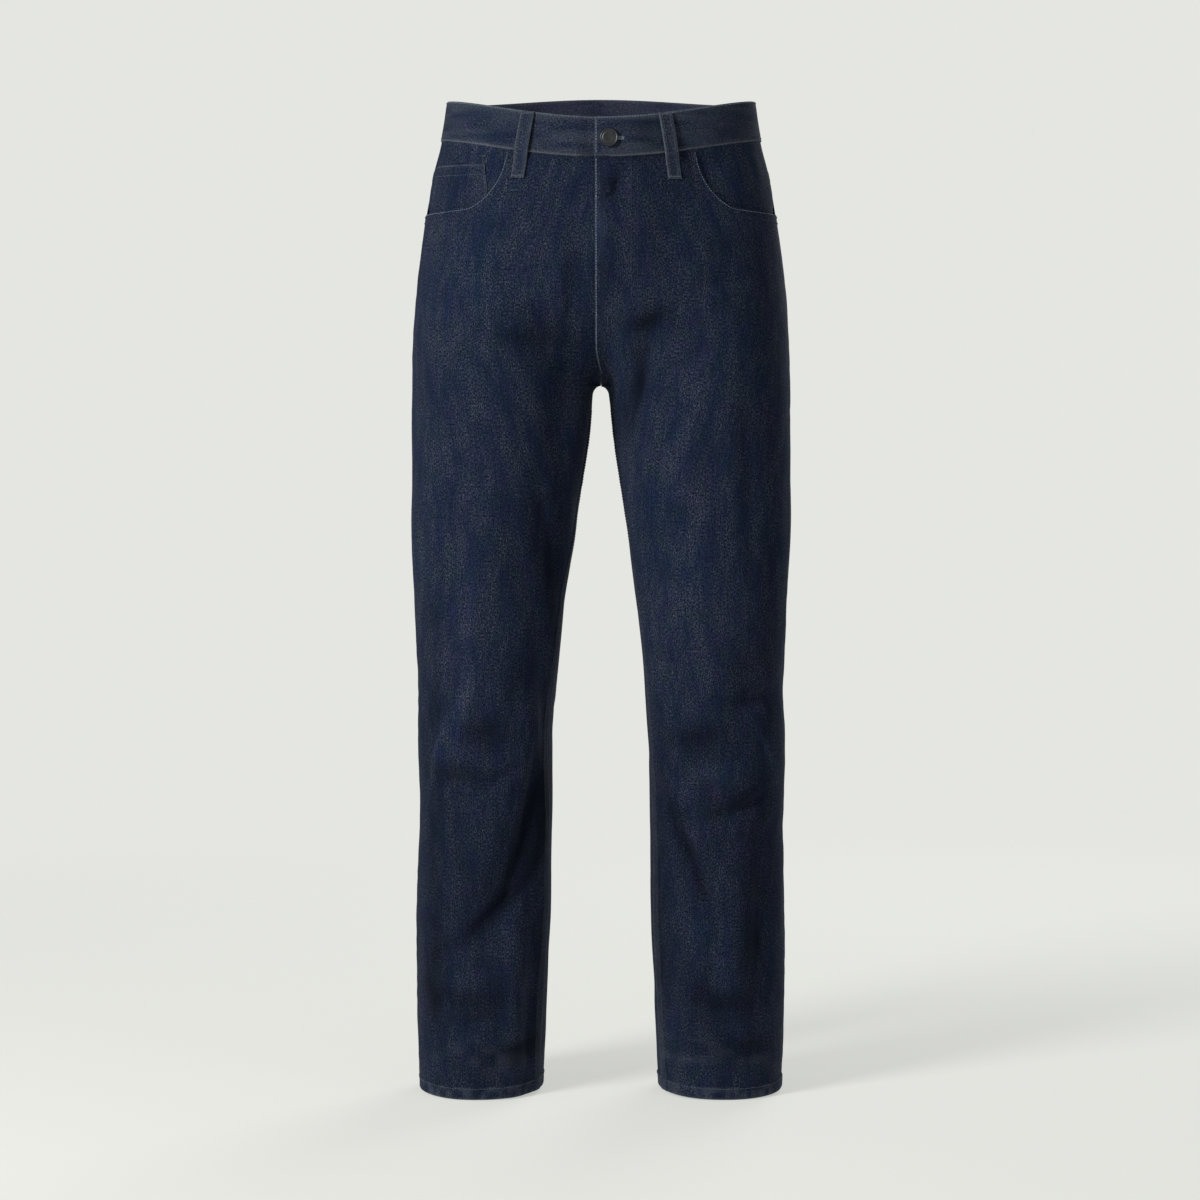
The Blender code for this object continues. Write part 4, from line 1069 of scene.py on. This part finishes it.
def make_panels():
    for side, word in ((-1, "right"), (1, "left")):
        turns, heights = panel_grid(side, False)
        lift = front_lift(side, turns, heights)
        lift = lift + 0.0003 * doubled(SEAM_ALLOWANCE - mouth_distance(turns, heights))
        from_inner = turns * front_width(heights)
        on_leg = smooth(-heights, -CROTCH_HEIGHT + 0.02, -CROTCH_HEIGHT + 0.06)
        wear = worn_places(side * turns, heights)
        wear = wear + on_leg * fell_wear(from_inner, FELL_WIDTH, side * turns, heights, 0.14)
        # Painted shade falls on the fronts just under the waistband's lower edge
        below_band = np.maximum(band_seam(turns) - heights, 0.0)
        cloth(
            f"front_{word}_denim", f"front_{word}", side * turns, heights, lift,
            thick=hem_inside(turns, heights), wear=wear, round_at=SEWN_ROUND,
            painted_shade=0.8 * np.exp(-below_band / 0.0022),
        )
        turns, heights = panel_grid(side, True)
        cloth(
            f"back_{word}_denim", f"back_{word}", side * turns, heights, back_lift(side, turns, heights),
            thick=hem_inside(turns, heights), wear=worn_places(side * turns, heights), round_at=SEWN_ROUND,
        )
        share = spaced(YOKE_WIDE, GRID)
        turns = 2.0 - TOUCHING / YOKE_WIDE - share * (1.0 - 2 * TOUCHING / YOKE_WIDE)
        down = spaced(0.05, FINE_GRID)[:, None]
        top, low = band_seam(turns) + TUCKED, yoke_seam(turns) - OVER
        heights = top + (low - top) * down
        turns = np.broadcast_to(turns, heights.shape)
        from_foot = heights - low
        lift = 0.0005 * doubled(YOKE_FELL - from_foot)
        lift = lift + 0.0002 * puckers(side * turns, turns, from_foot, 71)
        if side > 0:
            lift = lift + 0.0005 * doubled(YOKE_FELL - (2.0 - turns) * YOKE_WIDE)
        cloth(
            f"yoke_{word}_denim", f"yoke_{word}", side * turns, heights, lift,
            wear=fell_wear(from_foot, YOKE_FELL, turns, turns * YOKE_WIDE, 0.10), round_at=SEWN_ROUND,
        )


# ---- Pockets ----

FACING_BACK, COIN_BACK, COIN_WALL = 0.0031, 0.0019, 0.0008
FACING_REACH, FACING_LOWEST, FACING_SHORT = 0.026, -0.150, 0.0006
POCKET_TURNED, COIN_WIDTH, COIN_DEPTH, COIN_GRID = 0.0130, 0.058, 0.070, 0.0028
COIN_TOP = ((0.1235, -0.0712), (0.1770, -0.0690))
COIN_FOOT = ((0.1150, -0.1400), (0.1810, -0.1400))
MOUTH_TURN = float(mouth_curve(3)[0][0])


def facing_depth(turn, z):
    from_outseam = np.clip((1.0 - turn) / 0.16, 0.0, 1.0)
    below_mouth = np.clip((-0.098 - z) / (-0.098 - MOUTH_END), 0.0, 1.0)
    share = np.maximum(from_outseam, below_mouth)
    depth = 0.0002 + (FACING_BACK - 0.0002) * share * share * (3.0 - 2.0 * share)
    behind_front = smooth(turn, MOUTH_TURN - 0.002, MOUTH_TURN - 0.030)
    sewn = smooth(band_seam(turn) - z, 0.0, 0.014)
    return 0.0002 + (depth - 0.0002) * np.maximum(behind_front, sewn)


def pocket_half(down):
    return 0.5 * (POCKET_WIDTH - POCKET_NARROWING * down)


def make_pockets():
    for side, word in ((-1, "right"), (1, "left")):
        wide = float(front_width(-0.10))
        start = mouth_curve(20)[0][0] - FACING_REACH / wide
        turns = start + (1.0 - FACING_SHORT - start) * spaced((1.0 - start) * wide, FINE_GRID)
        down = spaced(0.09, FINE_GRID)[:, None]
        top = band_seam(turns) + TUCKED
        heights = top + (FACING_LOWEST - top) * down
        turns = np.broadcast_to(turns, heights.shape)
        cloth(
            f"facing_{word}_denim", f"pocket_facing_{word}", side * turns, heights,
            -facing_depth(turns, heights),
        )
        across = 2.0 * spaced(POCKET_WIDTH, FINE_GRID) - 1.0
        down = spaced(POCKET_DEPTH, FINE_GRID)[:, None]
        half = pocket_half(down)
        turns, heights = back_pocket_place(across, down, half)
        rim = np.minimum((1.0 - np.abs(across)) * half, (1.0 - down) * POCKET_DEPTH + 0 * across)
        lift = WALL + 0.0005 + 0.0003 * doubled(SEAM_ALLOWANCE - rim)
        lift = lift + 0.0004 * doubled(POCKET_TURNED - down * POCKET_DEPTH)
        cloth(
            f"back_pocket_{word}_denim", f"back_pocket_{word}", side * turns, heights, lift,
            wear=0.08 * smooth(0.009 - rim, 0.0, 0.004),
        )
    down = spaced(COIN_DEPTH, COIN_GRID)[:, None]
    across = spaced(COIN_WIDTH, COIN_GRID)
    turns, heights = coin_place(across, down)
    lift = -COIN_BACK + 0.0004 * smooth(0.0125 - down * COIN_DEPTH, -0.0006, 0.0006) + 0 * across
    cloth("coin_pocket_denim", "coin_pocket", -turns, heights, lift, wall=COIN_WALL)


def back_pocket_place(across, down, half):
    """Turns and heights of places on the back pocket, across from -1 to 1 and down from 0 to 1."""
    point = POCKET_POINT * (1.0 - np.abs(across)) * down**2
    heights = POCKET_TOP - POCKET_DEPTH * down - point - POCKET_SLOPE * across
    distance = POCKET_MIDDLE + half * across
    turns = 2.0 - np.linspace(0.0, 1.0, 201)
    levels = np.linspace(heights.min(), heights.max(), 14)
    reach = [bare(turns, level)[0][:, 0] for level in levels]
    at_level = np.array([np.interp(distance.ravel(), r, turns) for r in reach])
    flat = heights.ravel()
    i = np.clip(np.searchsorted(levels, flat) - 1, 0, len(levels) - 2)
    t = (flat - levels[i]) / (levels[1] - levels[0])
    columns = np.arange(len(flat))
    found = at_level[i, columns] * (1 - t) + at_level[i + 1, columns] * t
    return found.reshape(heights.shape), heights


COIN_EDGES = [np.array([(turn_at(x, z), z) for x, z in edge]) for edge in (COIN_TOP, COIN_FOOT)]


def coin_place(across, down):
    """Turns and heights of places on the coin pocket, across and down from 0 to 1."""
    across = np.asarray(across)[..., None]
    upper, lower = (edge[0] + (edge[1] - edge[0]) * across for edge in COIN_EDGES)
    return tuple(upper[..., i] + (lower[..., i] - upper[..., i]) * down for i in (0, 1))


# ---- Waistband, loops, fly and button ----

LAP_TURN = FLY_LAP / BAND_WIDE


def wrapped(turn):
    return np.where(turn < -2.0, turn + 4.0, np.where(turn > 2.0, turn - 4.0, turn))


def band_drop(turn):
    """How far the start of the band lies under its end. Its turns run on from 0.14 down to -4."""
    return UNDERLAP_STEP * smooth(turn, -0.115, -0.045) * (turn > -1.0)


def band_lift(turn, z):
    from_top = band_top(turn) - z
    sewn = bump_at(from_top, 0.0030, 0.0017) + bump_at(BAND_HEIGHT - from_top, 0.0032, 0.0017)
    spots = np.stack([np.abs(turn) * 0.2, np.sign(turn) + 0 * z, z], axis=-1)
    pulls = noise(spots, (0.006, 1.0, 0.02), 81) * np.exp(-((from_top - BAND_HEIGHT + 0.004) / 0.008) ** 2)
    return BAND_PROUD - 0.00035 * sewn + 0.00016 * pulls


def make_waistband():
    end = -4.0 - LAP_TURN
    start = 0.14
    turns = start + (end - start) * spaced((start - end) * 0.22, 0.0030)
    real = wrapped(turns)
    down = spaced(BAND_HEIGHT, 0.0021)[:, None]
    heights = band_top(real) - BAND_HEIGHT * down
    real = np.broadcast_to(real, heights.shape)
    lift = band_lift(real, heights) - band_drop(turns)
    spots = np.stack([np.abs(real) * 0.2, np.sign(real), heights], axis=-1)
    from_top = band_top(real) - heights
    rubbed = np.exp(-from_top / 0.0015) + 1.9 * np.exp(-(BAND_HEIGHT - from_top) / 0.0013)
    wear = 0.13 + 0.13 * noise(spots, (0.03, 1.0, 0.006), 83) + 0.34 * rubbed
    cloth(
        "waistband_denim", "waistband", real, heights, lift, wall=BAND_WALL, wear=wear, round_at=0.0011,
        along=True,
    )


LOOPS = (
    ("front_right", -0.0760, -0.0874, False),
    ("front_left", 0.0665, 0.0772, False),
    ("side_right", -0.118, -0.122, True),
    ("side_left", 0.118, 0.122, True),
    ("back", 0.0, 0.0, True),
)


def loop_turn(distance, z, is_back):
    if not is_back or abs(distance) > 0.02:
        return turn_at(distance, z, is_back)
    away = turn_at(abs(distance) + 1e-6, z, True)
    return away if distance > 0 else 4.0 - away


def loop_lift(down):
    """The outside of a loop, from its top at 0 to its foot at 1."""
    on_band = BAND_PROUD * np.clip((0.72 - down) / 0.08, 0.0, 1.0)
    arch = np.sin(np.clip(down / 0.80, 0.0, 1.0) * math.pi)
    return 0.0004 + 0.0004 * down + on_band + 0.0022 * arch + LOOP_WALL


def loop_places(top_x, foot_x, is_back, across, down):
    """Turns, heights and lifts of places on a loop, across from -0.5 to 0.5."""
    top_turn = turn_at(top_x, -0.01, is_back)
    heights = float(band_top(top_turn)) - 0.0008 - LOOP_LENGTH * down
    middle = top_x + (foot_x - top_x) * down
    turns = np.array([
        [loop_turn(m + a * LOOP_WIDTH, z, is_back) for a in across] for m, z in zip(middle, heights)
    ])
    return turns, np.broadcast_to(heights[:, None], turns.shape), loop_lift(down)[:, None] + 0 * turns


def make_loops():
    """Make the belt loops and give back their stitches."""
    tonal = []
    for word, top_x, foot_x, is_back in LOOPS:
        across = spaced(LOOP_WIDTH, 0.0013, (0.0, 0.0003, 0.0008)) - 0.5
        down = spaced(LOOP_LENGTH, 0.0024, (0.0, 0.0004, 0.0011))
        turns, heights, lift = loop_places(top_x, foot_x, is_back, across, down)
        from_side = (0.5 - np.abs(across)) * LOOP_WIDTH
        ridge = 0.00030 * bump_at(from_side, 0.0018, 0.0012) - 0.00025 * (from_side > 0.0040)
        wear = np.broadcast_to(0.30 * np.exp(-from_side / 0.0011) + 0.10, turns.shape)
        cloth(
            f"loop_{word}_denim", f"loop_{word}", turns, heights, lift + ridge, wall=LOOP_WALL, wear=wear,
            round_at=SEWN_ROUND,
        )
        for offset in (-0.27, 0.27):
            turns, heights, lift = loop_places(top_x, foot_x, is_back, [offset], np.linspace(0.03, 0.97, 18))
            tonal.append(loop_row(turns[:, 0], heights[:, 0], lift[:, 0] + 0.0001))
        for place in (0.028, 0.965):
            down = np.array([place])
            turns, heights, lift = loop_places(top_x, foot_x, is_back, [-0.40, 0.40], down)
            ends = (turns[0, 0], heights[0, 0], turns[0, 1], heights[0, 1])
            tonal.append(bar(*ends, float(lift[0, 0]), 0.0016, 17))
    return tonal


def loop_row(turns, heights, lift):
    """Stitches along a loop, whose height above the skin changes on the way."""
    return row(turns, heights, lambda t, h: np.interp(-h, -heights, lift), 0.0030, 0.0022, 0.0005)


def strip_behind(name, node, reach, lowest, lift, wall, materials):
    z = np.linspace(BAND_FOOT + 0.0005, lowest, 48)
    across = np.linspace(*reach, 14)
    turns = np.array([[turn_at(x, h) for x in across] for h in z])
    heights = np.broadcast_to(z[:, None], turns.shape)
    cloth(name, node, turns, heights, lift, wall=wall, materials=materials)


def make_fly():
    """The closed zip and the shield behind it, of which nothing shows from outside."""
    strip_behind("zip_tape", "fly_zip", (-0.012, 0.020), -0.205, -0.0024, 0.0007, (TAPE, TAPE))
    strip_behind(
        "fly_shield_denim", "fly_shield", (-0.020, 0.036), -0.225, -0.0038, WALL, (INSIDE, INSIDE)
    )


def lathe(name, profile, material, node, steps=56):
    angles = np.linspace(0.0, 2 * math.pi, steps, endpoint=False)
    profile = np.array(profile)
    points = np.stack([
        profile[:, None, 0] * np.cos(angles), profile[:, None, 0] * np.sin(angles),
        np.broadcast_to(profile[:, None, 1], (len(profile), steps)),
    ], axis=-1)
    faces = [(face[0], *face[:0:-1]) for face in tube_faces(len(profile), steps)]
    made = make_mesh(name, points.reshape(-1, 3), faces, np.zeros(len(faces)), (material,))
    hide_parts(node)
    return made


# Radius and height of the button's rings, from the middle of its face to the foot of its neck
BUTTON_RINGS = (
    (0.0004, 0.00345), (0.0025, 0.00350), (0.0048, 0.00362), (0.0062, 0.00372), (0.0067, 0.00368),
    (0.0070, 0.00335), (0.0073, 0.00330), (0.0076, 0.00370), (0.0081, 0.00410), (0.0086, 0.00415),
    (0.0091, 0.00385), (0.00945, 0.0033), (0.0095, 0.0027), (0.0093, 0.0021), (0.0088, 0.0017),
    (0.0080, 0.00155), (0.0044, 0.00150), (0.0040, 0.0012), (0.0038, 0.0002), (0.0039, 0.0),
)


def make_button():
    made = lathe("waist_button_cap", BUTTON_RINGS, METAL, "waist_button")
    x, z = BUTTON_AT
    turn = turn_at(x, z)
    seat, normal = surface(np.array([turn]), np.array([z]), BAND_PROUD + 0.0004)
    made.location = Vector(seat[0])
    made.rotation_euler = (math.atan2(-normal[0, 1], normal[0, 2]), 0.0, 0.0)
    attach(made, "root")


HOLE_FROM, HOLE_TO, HOLE_HALF = 0.0035, 0.0222, 0.0009


def buttonhole():
    """Close threads round a level slot, fanned round its outer end."""
    middle_z = BUTTON_AT[1] - 0.0003
    xs = np.arange(HOLE_FROM, HOLE_TO, 0.00055)
    angles = np.linspace(-math.pi / 2, math.pi / 2, 11)
    fan = np.stack([np.cos(angles), 0 * angles, np.sin(angles)], axis=1)
    sides = [
        (xs, up * HOLE_HALF + 0 * xs, np.tile([0.04 * up, 0.0, 1.0], (len(xs), 1)), 0.0013)
        for up in (-1, 1)
    ]
    end = (HOLE_TO + HOLE_HALF * np.cos(angles), HOLE_HALF * np.sin(angles), fan, 0.0012)
    places = []
    for across, above, run, half_length in (*sides, end):
        turns = np.array([turn_at(x, middle_z) for x in across])
        middle, normal = surface(turns, middle_z + above, BAND_PROUD + 0.00015)
        places.append((middle, run, normal, half_length, 0.00034))
    return places


# ---- Stitching ----


def path(points):
    """Turns and heights of a line through (distance from the middle, height) on the front."""
    return np.array([turn_at(x, z) for x, z in points]), np.array([z for _, z in points])


def fly_curve(x, low):
    """Down from the waistband and round to the middle."""
    straight = [(x, z) for z in np.linspace(BAND_FOOT - 0.001, low + x, 14)]
    angles = np.linspace(0.0, math.pi / 2, 14)[1:]
    bend = [(x * math.cos(a) + 0.0005, low + x * (1.0 - math.sin(a))) for a in angles]
    return path(straight + bend)


# Stitches of the heavier and the finer thread: pitch, length and width
BOLD, FINE = (0.0029, 0.0024, 0.0010), (0.0029, 0.0022, 0.0007)


def make_stitches(middle):
    dark, light = [], []
    around = np.linspace(-4.0 - LAP_TURN + 0.012, -LAP_TURN - 0.012, 260)
    for below in (0.0014, BAND_HEIGHT - 0.0034):
        heights = band_top(wrapped(around)) - below
        kept = light if below < 0.01 else dark
        on_band = lambda t, h: BAND_PROUD - 0.0002 - band_drop(t)
        kept.append(row(around, heights, on_band, 0.0029, 0.0021, 0.0007))
    end = np.linspace(0.0035, BAND_HEIGHT - 0.004, 12)
    turn = -LAP_TURN + 0.0016 / BAND_WIDE
    light.append(row(turn + 0 * end, band_top(turn) - end, BAND_PROUD - 0.0001, 0.0029, 0.0024, 0.0011))

    def left_front(t, h):
        return front_lift(1, t, h)

    z = np.linspace(BAND_FOOT - 0.002, -0.292, 60)
    light.append(row((0.0014 - fly_lap(z)) / front_width(z), z, left_front, *BOLD))
    z = np.linspace(-0.236, -0.301, 24)
    dark.append(row((0.0074 - fly_lap(z)) / front_width(z), z, left_front))
    for x, low in ((0.0385, -0.2435), (0.0318, -0.2365)):
        turns, heights = fly_curve(x, low)
        dark.append(row(turns, heights, left_front, 0.0029, 0.0022, 0.0008))
    for side in (-1, 1):
        for inset in (0.0011, 0.0085):
            turn, z = mouth_curve(60, inset)
            keep = (turn < 1.0) & (z < band_seam(np.minimum(turn, 1.0)) - 0.001)
            kept = light if inset < 0.005 else dark
            kept.append(row(side * turn[keep], z[keep], 0.0003, *FINE))
        z = np.linspace(-0.33, HEM_HEIGHT + HEM_FOLD + 0.001, 200)
        for distance in (0.0028, 0.0128):
            turn = side * distance / front_width(z)
            dark.append(row(turn, z, lambda t, h, s=side: front_lift(s, s * t, h)))
        for first, last in ((0.004, 0.996), (1.004, 1.996)):
            turn = np.linspace(first, last, 80)
            z = hem_edge(turn) + 0.0120
            middle.append(row(side * turn, z, HEM_PROUD + 0.0001))
        turn = np.linspace(1.0 + 0.002 / YOKE_WIDE, 2.0 - 0.002 / YOKE_WIDE, 60)
        for up in (0.0022, 0.0088):
            dark.append(row(side * turn, yoke_seam(turn) + up, 0.0005))
        for inset in (0.0022, 0.0080):
            dark.extend(pocket_rows(side, inset))
        dark.extend(pocket_bars(side))
    z = np.linspace(-0.106, -0.300, 60)
    for distance in (0.0024, 0.0090):
        dark.append(row(2.0 - distance / back_width(z), z, lambda t, h: back_lift(1, t, h)))
        up = np.linspace(-0.072, -0.1025, 12)
        dark.append(row((2.0 - distance / YOKE_WIDE) + 0 * up, up, 0.0007))
    for down in (0.022, 0.165):
        turn, z = coin_place(np.linspace(0.03, 0.97, 20), down)
        middle.append(row(-turn, z, -COIN_BACK + 0.0003))
    turn, z = coin_place(np.full(30, 0.030), np.linspace(0.02, 0.9, 30))
    middle.append(row(-turn, z, -COIN_BACK))
    light.extend(buttonhole())
    threads("stitches_light", light, LIGHT_THREAD)
    threads("stitches_middle", middle, MIDDLE_THREAD)
    threads("stitches_dark", dark, DARK_THREAD)


def pocket_rows(side, inset):
    """Rows of stitches down both sides of a back pocket and round its point."""
    corners = ((-1, 0.0), (-1, 1.0), (0, 1.0), (1, 1.0), (1, 0.0))
    t = np.linspace(0.0, 1.0, 14)
    rows = []
    for start, stop in zip(corners, corners[1:]):
        across, down = (start[i] + (stop[i] - start[i]) * t for i in (0, 1))
        half = pocket_half(down)
        across = across * (1.0 - inset / half)
        down = down * (1.0 - inset * 1.05 / POCKET_DEPTH)
        turns, heights = back_pocket_place(across, down, half)
        rows.append(row(side * turns, heights, WALL + 0.0008))
    if inset > 0.005:
        across = np.linspace(-0.96, 0.96, 20)
        down = np.full(20, 0.0115 / POCKET_DEPTH)
        turns, heights = back_pocket_place(across, down, pocket_half(down))
        rows.append(row(side * turns, heights, WALL + 0.0009))
    return rows


def pocket_bars(side):
    bars = []
    for across in (-0.965, 0.965):
        down = np.array([0.012, 0.060])
        turns, heights = back_pocket_place(np.full(2, across), down, pocket_half(down))
        ends = (side * turns[0], heights[0], side * turns[1], heights[1])
        bars.append(bar(*ends, WALL + 0.0010, 0.0022, 14))
    turn, z = mouth_curve(60, 0.0020)
    for i in (2, -4):
        bars.append(bar(side * turn[i], z[i], side * turn[i + 1], z[i + 1], 0.0004, 0.0026, 8))
    return bars


# ---- Stage ----

PALE = (0.783, 0.791, 0.753)
FLOOR_BELOW, FLOOR_SIZE, FLOOR_GLOW = 0.0006, 5.0, 0.60
MIDDLE_Z = -0.5


def stage_material(name, colour, reach, glow):
    """Pale paper that fades into the background away from the middle, and glows a little."""
    material, tree = nodes_of(name)
    spot = object_place(tree)
    darker, lighter = (tuple(share * c for c in colour) for share in (0.99, 1.01))
    far = new(tree, "ShaderNodeVectorMath", {0: spot}, operation="LENGTH").outputs["Value"]
    behind = new(tree, "ShaderNodeNewGeometry").outputs["Backfacing"]
    inputs = {
        "Base Color": mix(tree, fractal(tree, spot, 40.0, 4.0), darker, lighter),
        "Roughness": 0.95, "Specular IOR Level": 0.0, "Emission Color": PALE, "Emission Strength": glow,
        "Alpha": times(tree, ranged(tree, far, *reach, 1.0, 0.0), maths(tree, "SUBTRACT", 1.0, behind)),
    }
    for key, value in inputs.items():
        feed(tree, tree.nodes["Principled BSDF"].inputs[key], value)
    return material


def floor():
    half = FLOOR_SIZE / 2
    points = np.array([(-half, -half, 0), (half, -half, 0), (half, half, 0), (-half, half, 0)])
    paper = stage_material("floor_paper", tuple(0.5 * c for c in PALE), (0.7, 2.2), FLOOR_GLOW)
    made = make_mesh("floor", points, np.array([[0, 1, 2, 3]]), [0], (paper,))
    made.location = (0.0, 0.0, CAD_BOX[0].z - FLOOR_BELOW)


def facing(location, target):
    return (Vector(target) - Vector(location)).to_track_quat("-Z", "Y").to_euler()


def area_light(name, location, size, energy, colour=(1.0, 1.0, 1.0)):
    data = bpy.data.lights.new(name, "AREA")
    data.shape, data.size, data.energy, data.color = "DISK", size, energy, colour
    lamp = bpy.data.objects.new(name, data)
    lamp.location = location
    lamp.rotation_euler = facing(location, (0.0, 0.0, MIDDLE_Z))
    bpy.context.scene.collection.objects.link(lamp)


def make_stage():
    scene = bpy.context.scene
    scene.view_settings.view_transform = "Standard"
    scene.world = bpy.data.worlds.new("studio")
    scene.world.use_nodes = True
    tree = scene.world.node_tree
    back = tree.nodes["Background"].inputs
    seen = new(tree, "ShaderNodeLightPath").outputs["Is Camera Ray"]
    feed(tree, back["Color"], PALE)
    feed(tree, back["Strength"], ranged(tree, seen, 0.0, 1.0, 0.30, 1.0))
    floor()
    area_light("key", (-2.5, -2.3, 0.9), 1.2, 120.0, (1.0, 0.99, 0.97))
    area_light("fill", (2.2, -1.6, 0.4), 1.6, 6.0, (0.95, 0.97, 1.0))
    area_light("back_fill", (1.2, 2.6, 0.9), 1.8, 42.0)
    camera = bpy.data.objects.new("camera", bpy.data.cameras.new("camera"))
    camera.data.sensor_width, camera.data.lens = 36.0, 96.8
    camera.location = (-0.0012, -3.5, -0.33)
    camera.rotation_euler = facing(camera.location, (-0.0012, 0.0, -0.5362))
    scene.collection.objects.link(camera)
    scene.camera = camera


make_stage()
make_panels()
make_pockets()
make_waistband()
LOOP_ROWS = make_loops()
make_fly()
make_button()
make_stitches(LOOP_ROWS)

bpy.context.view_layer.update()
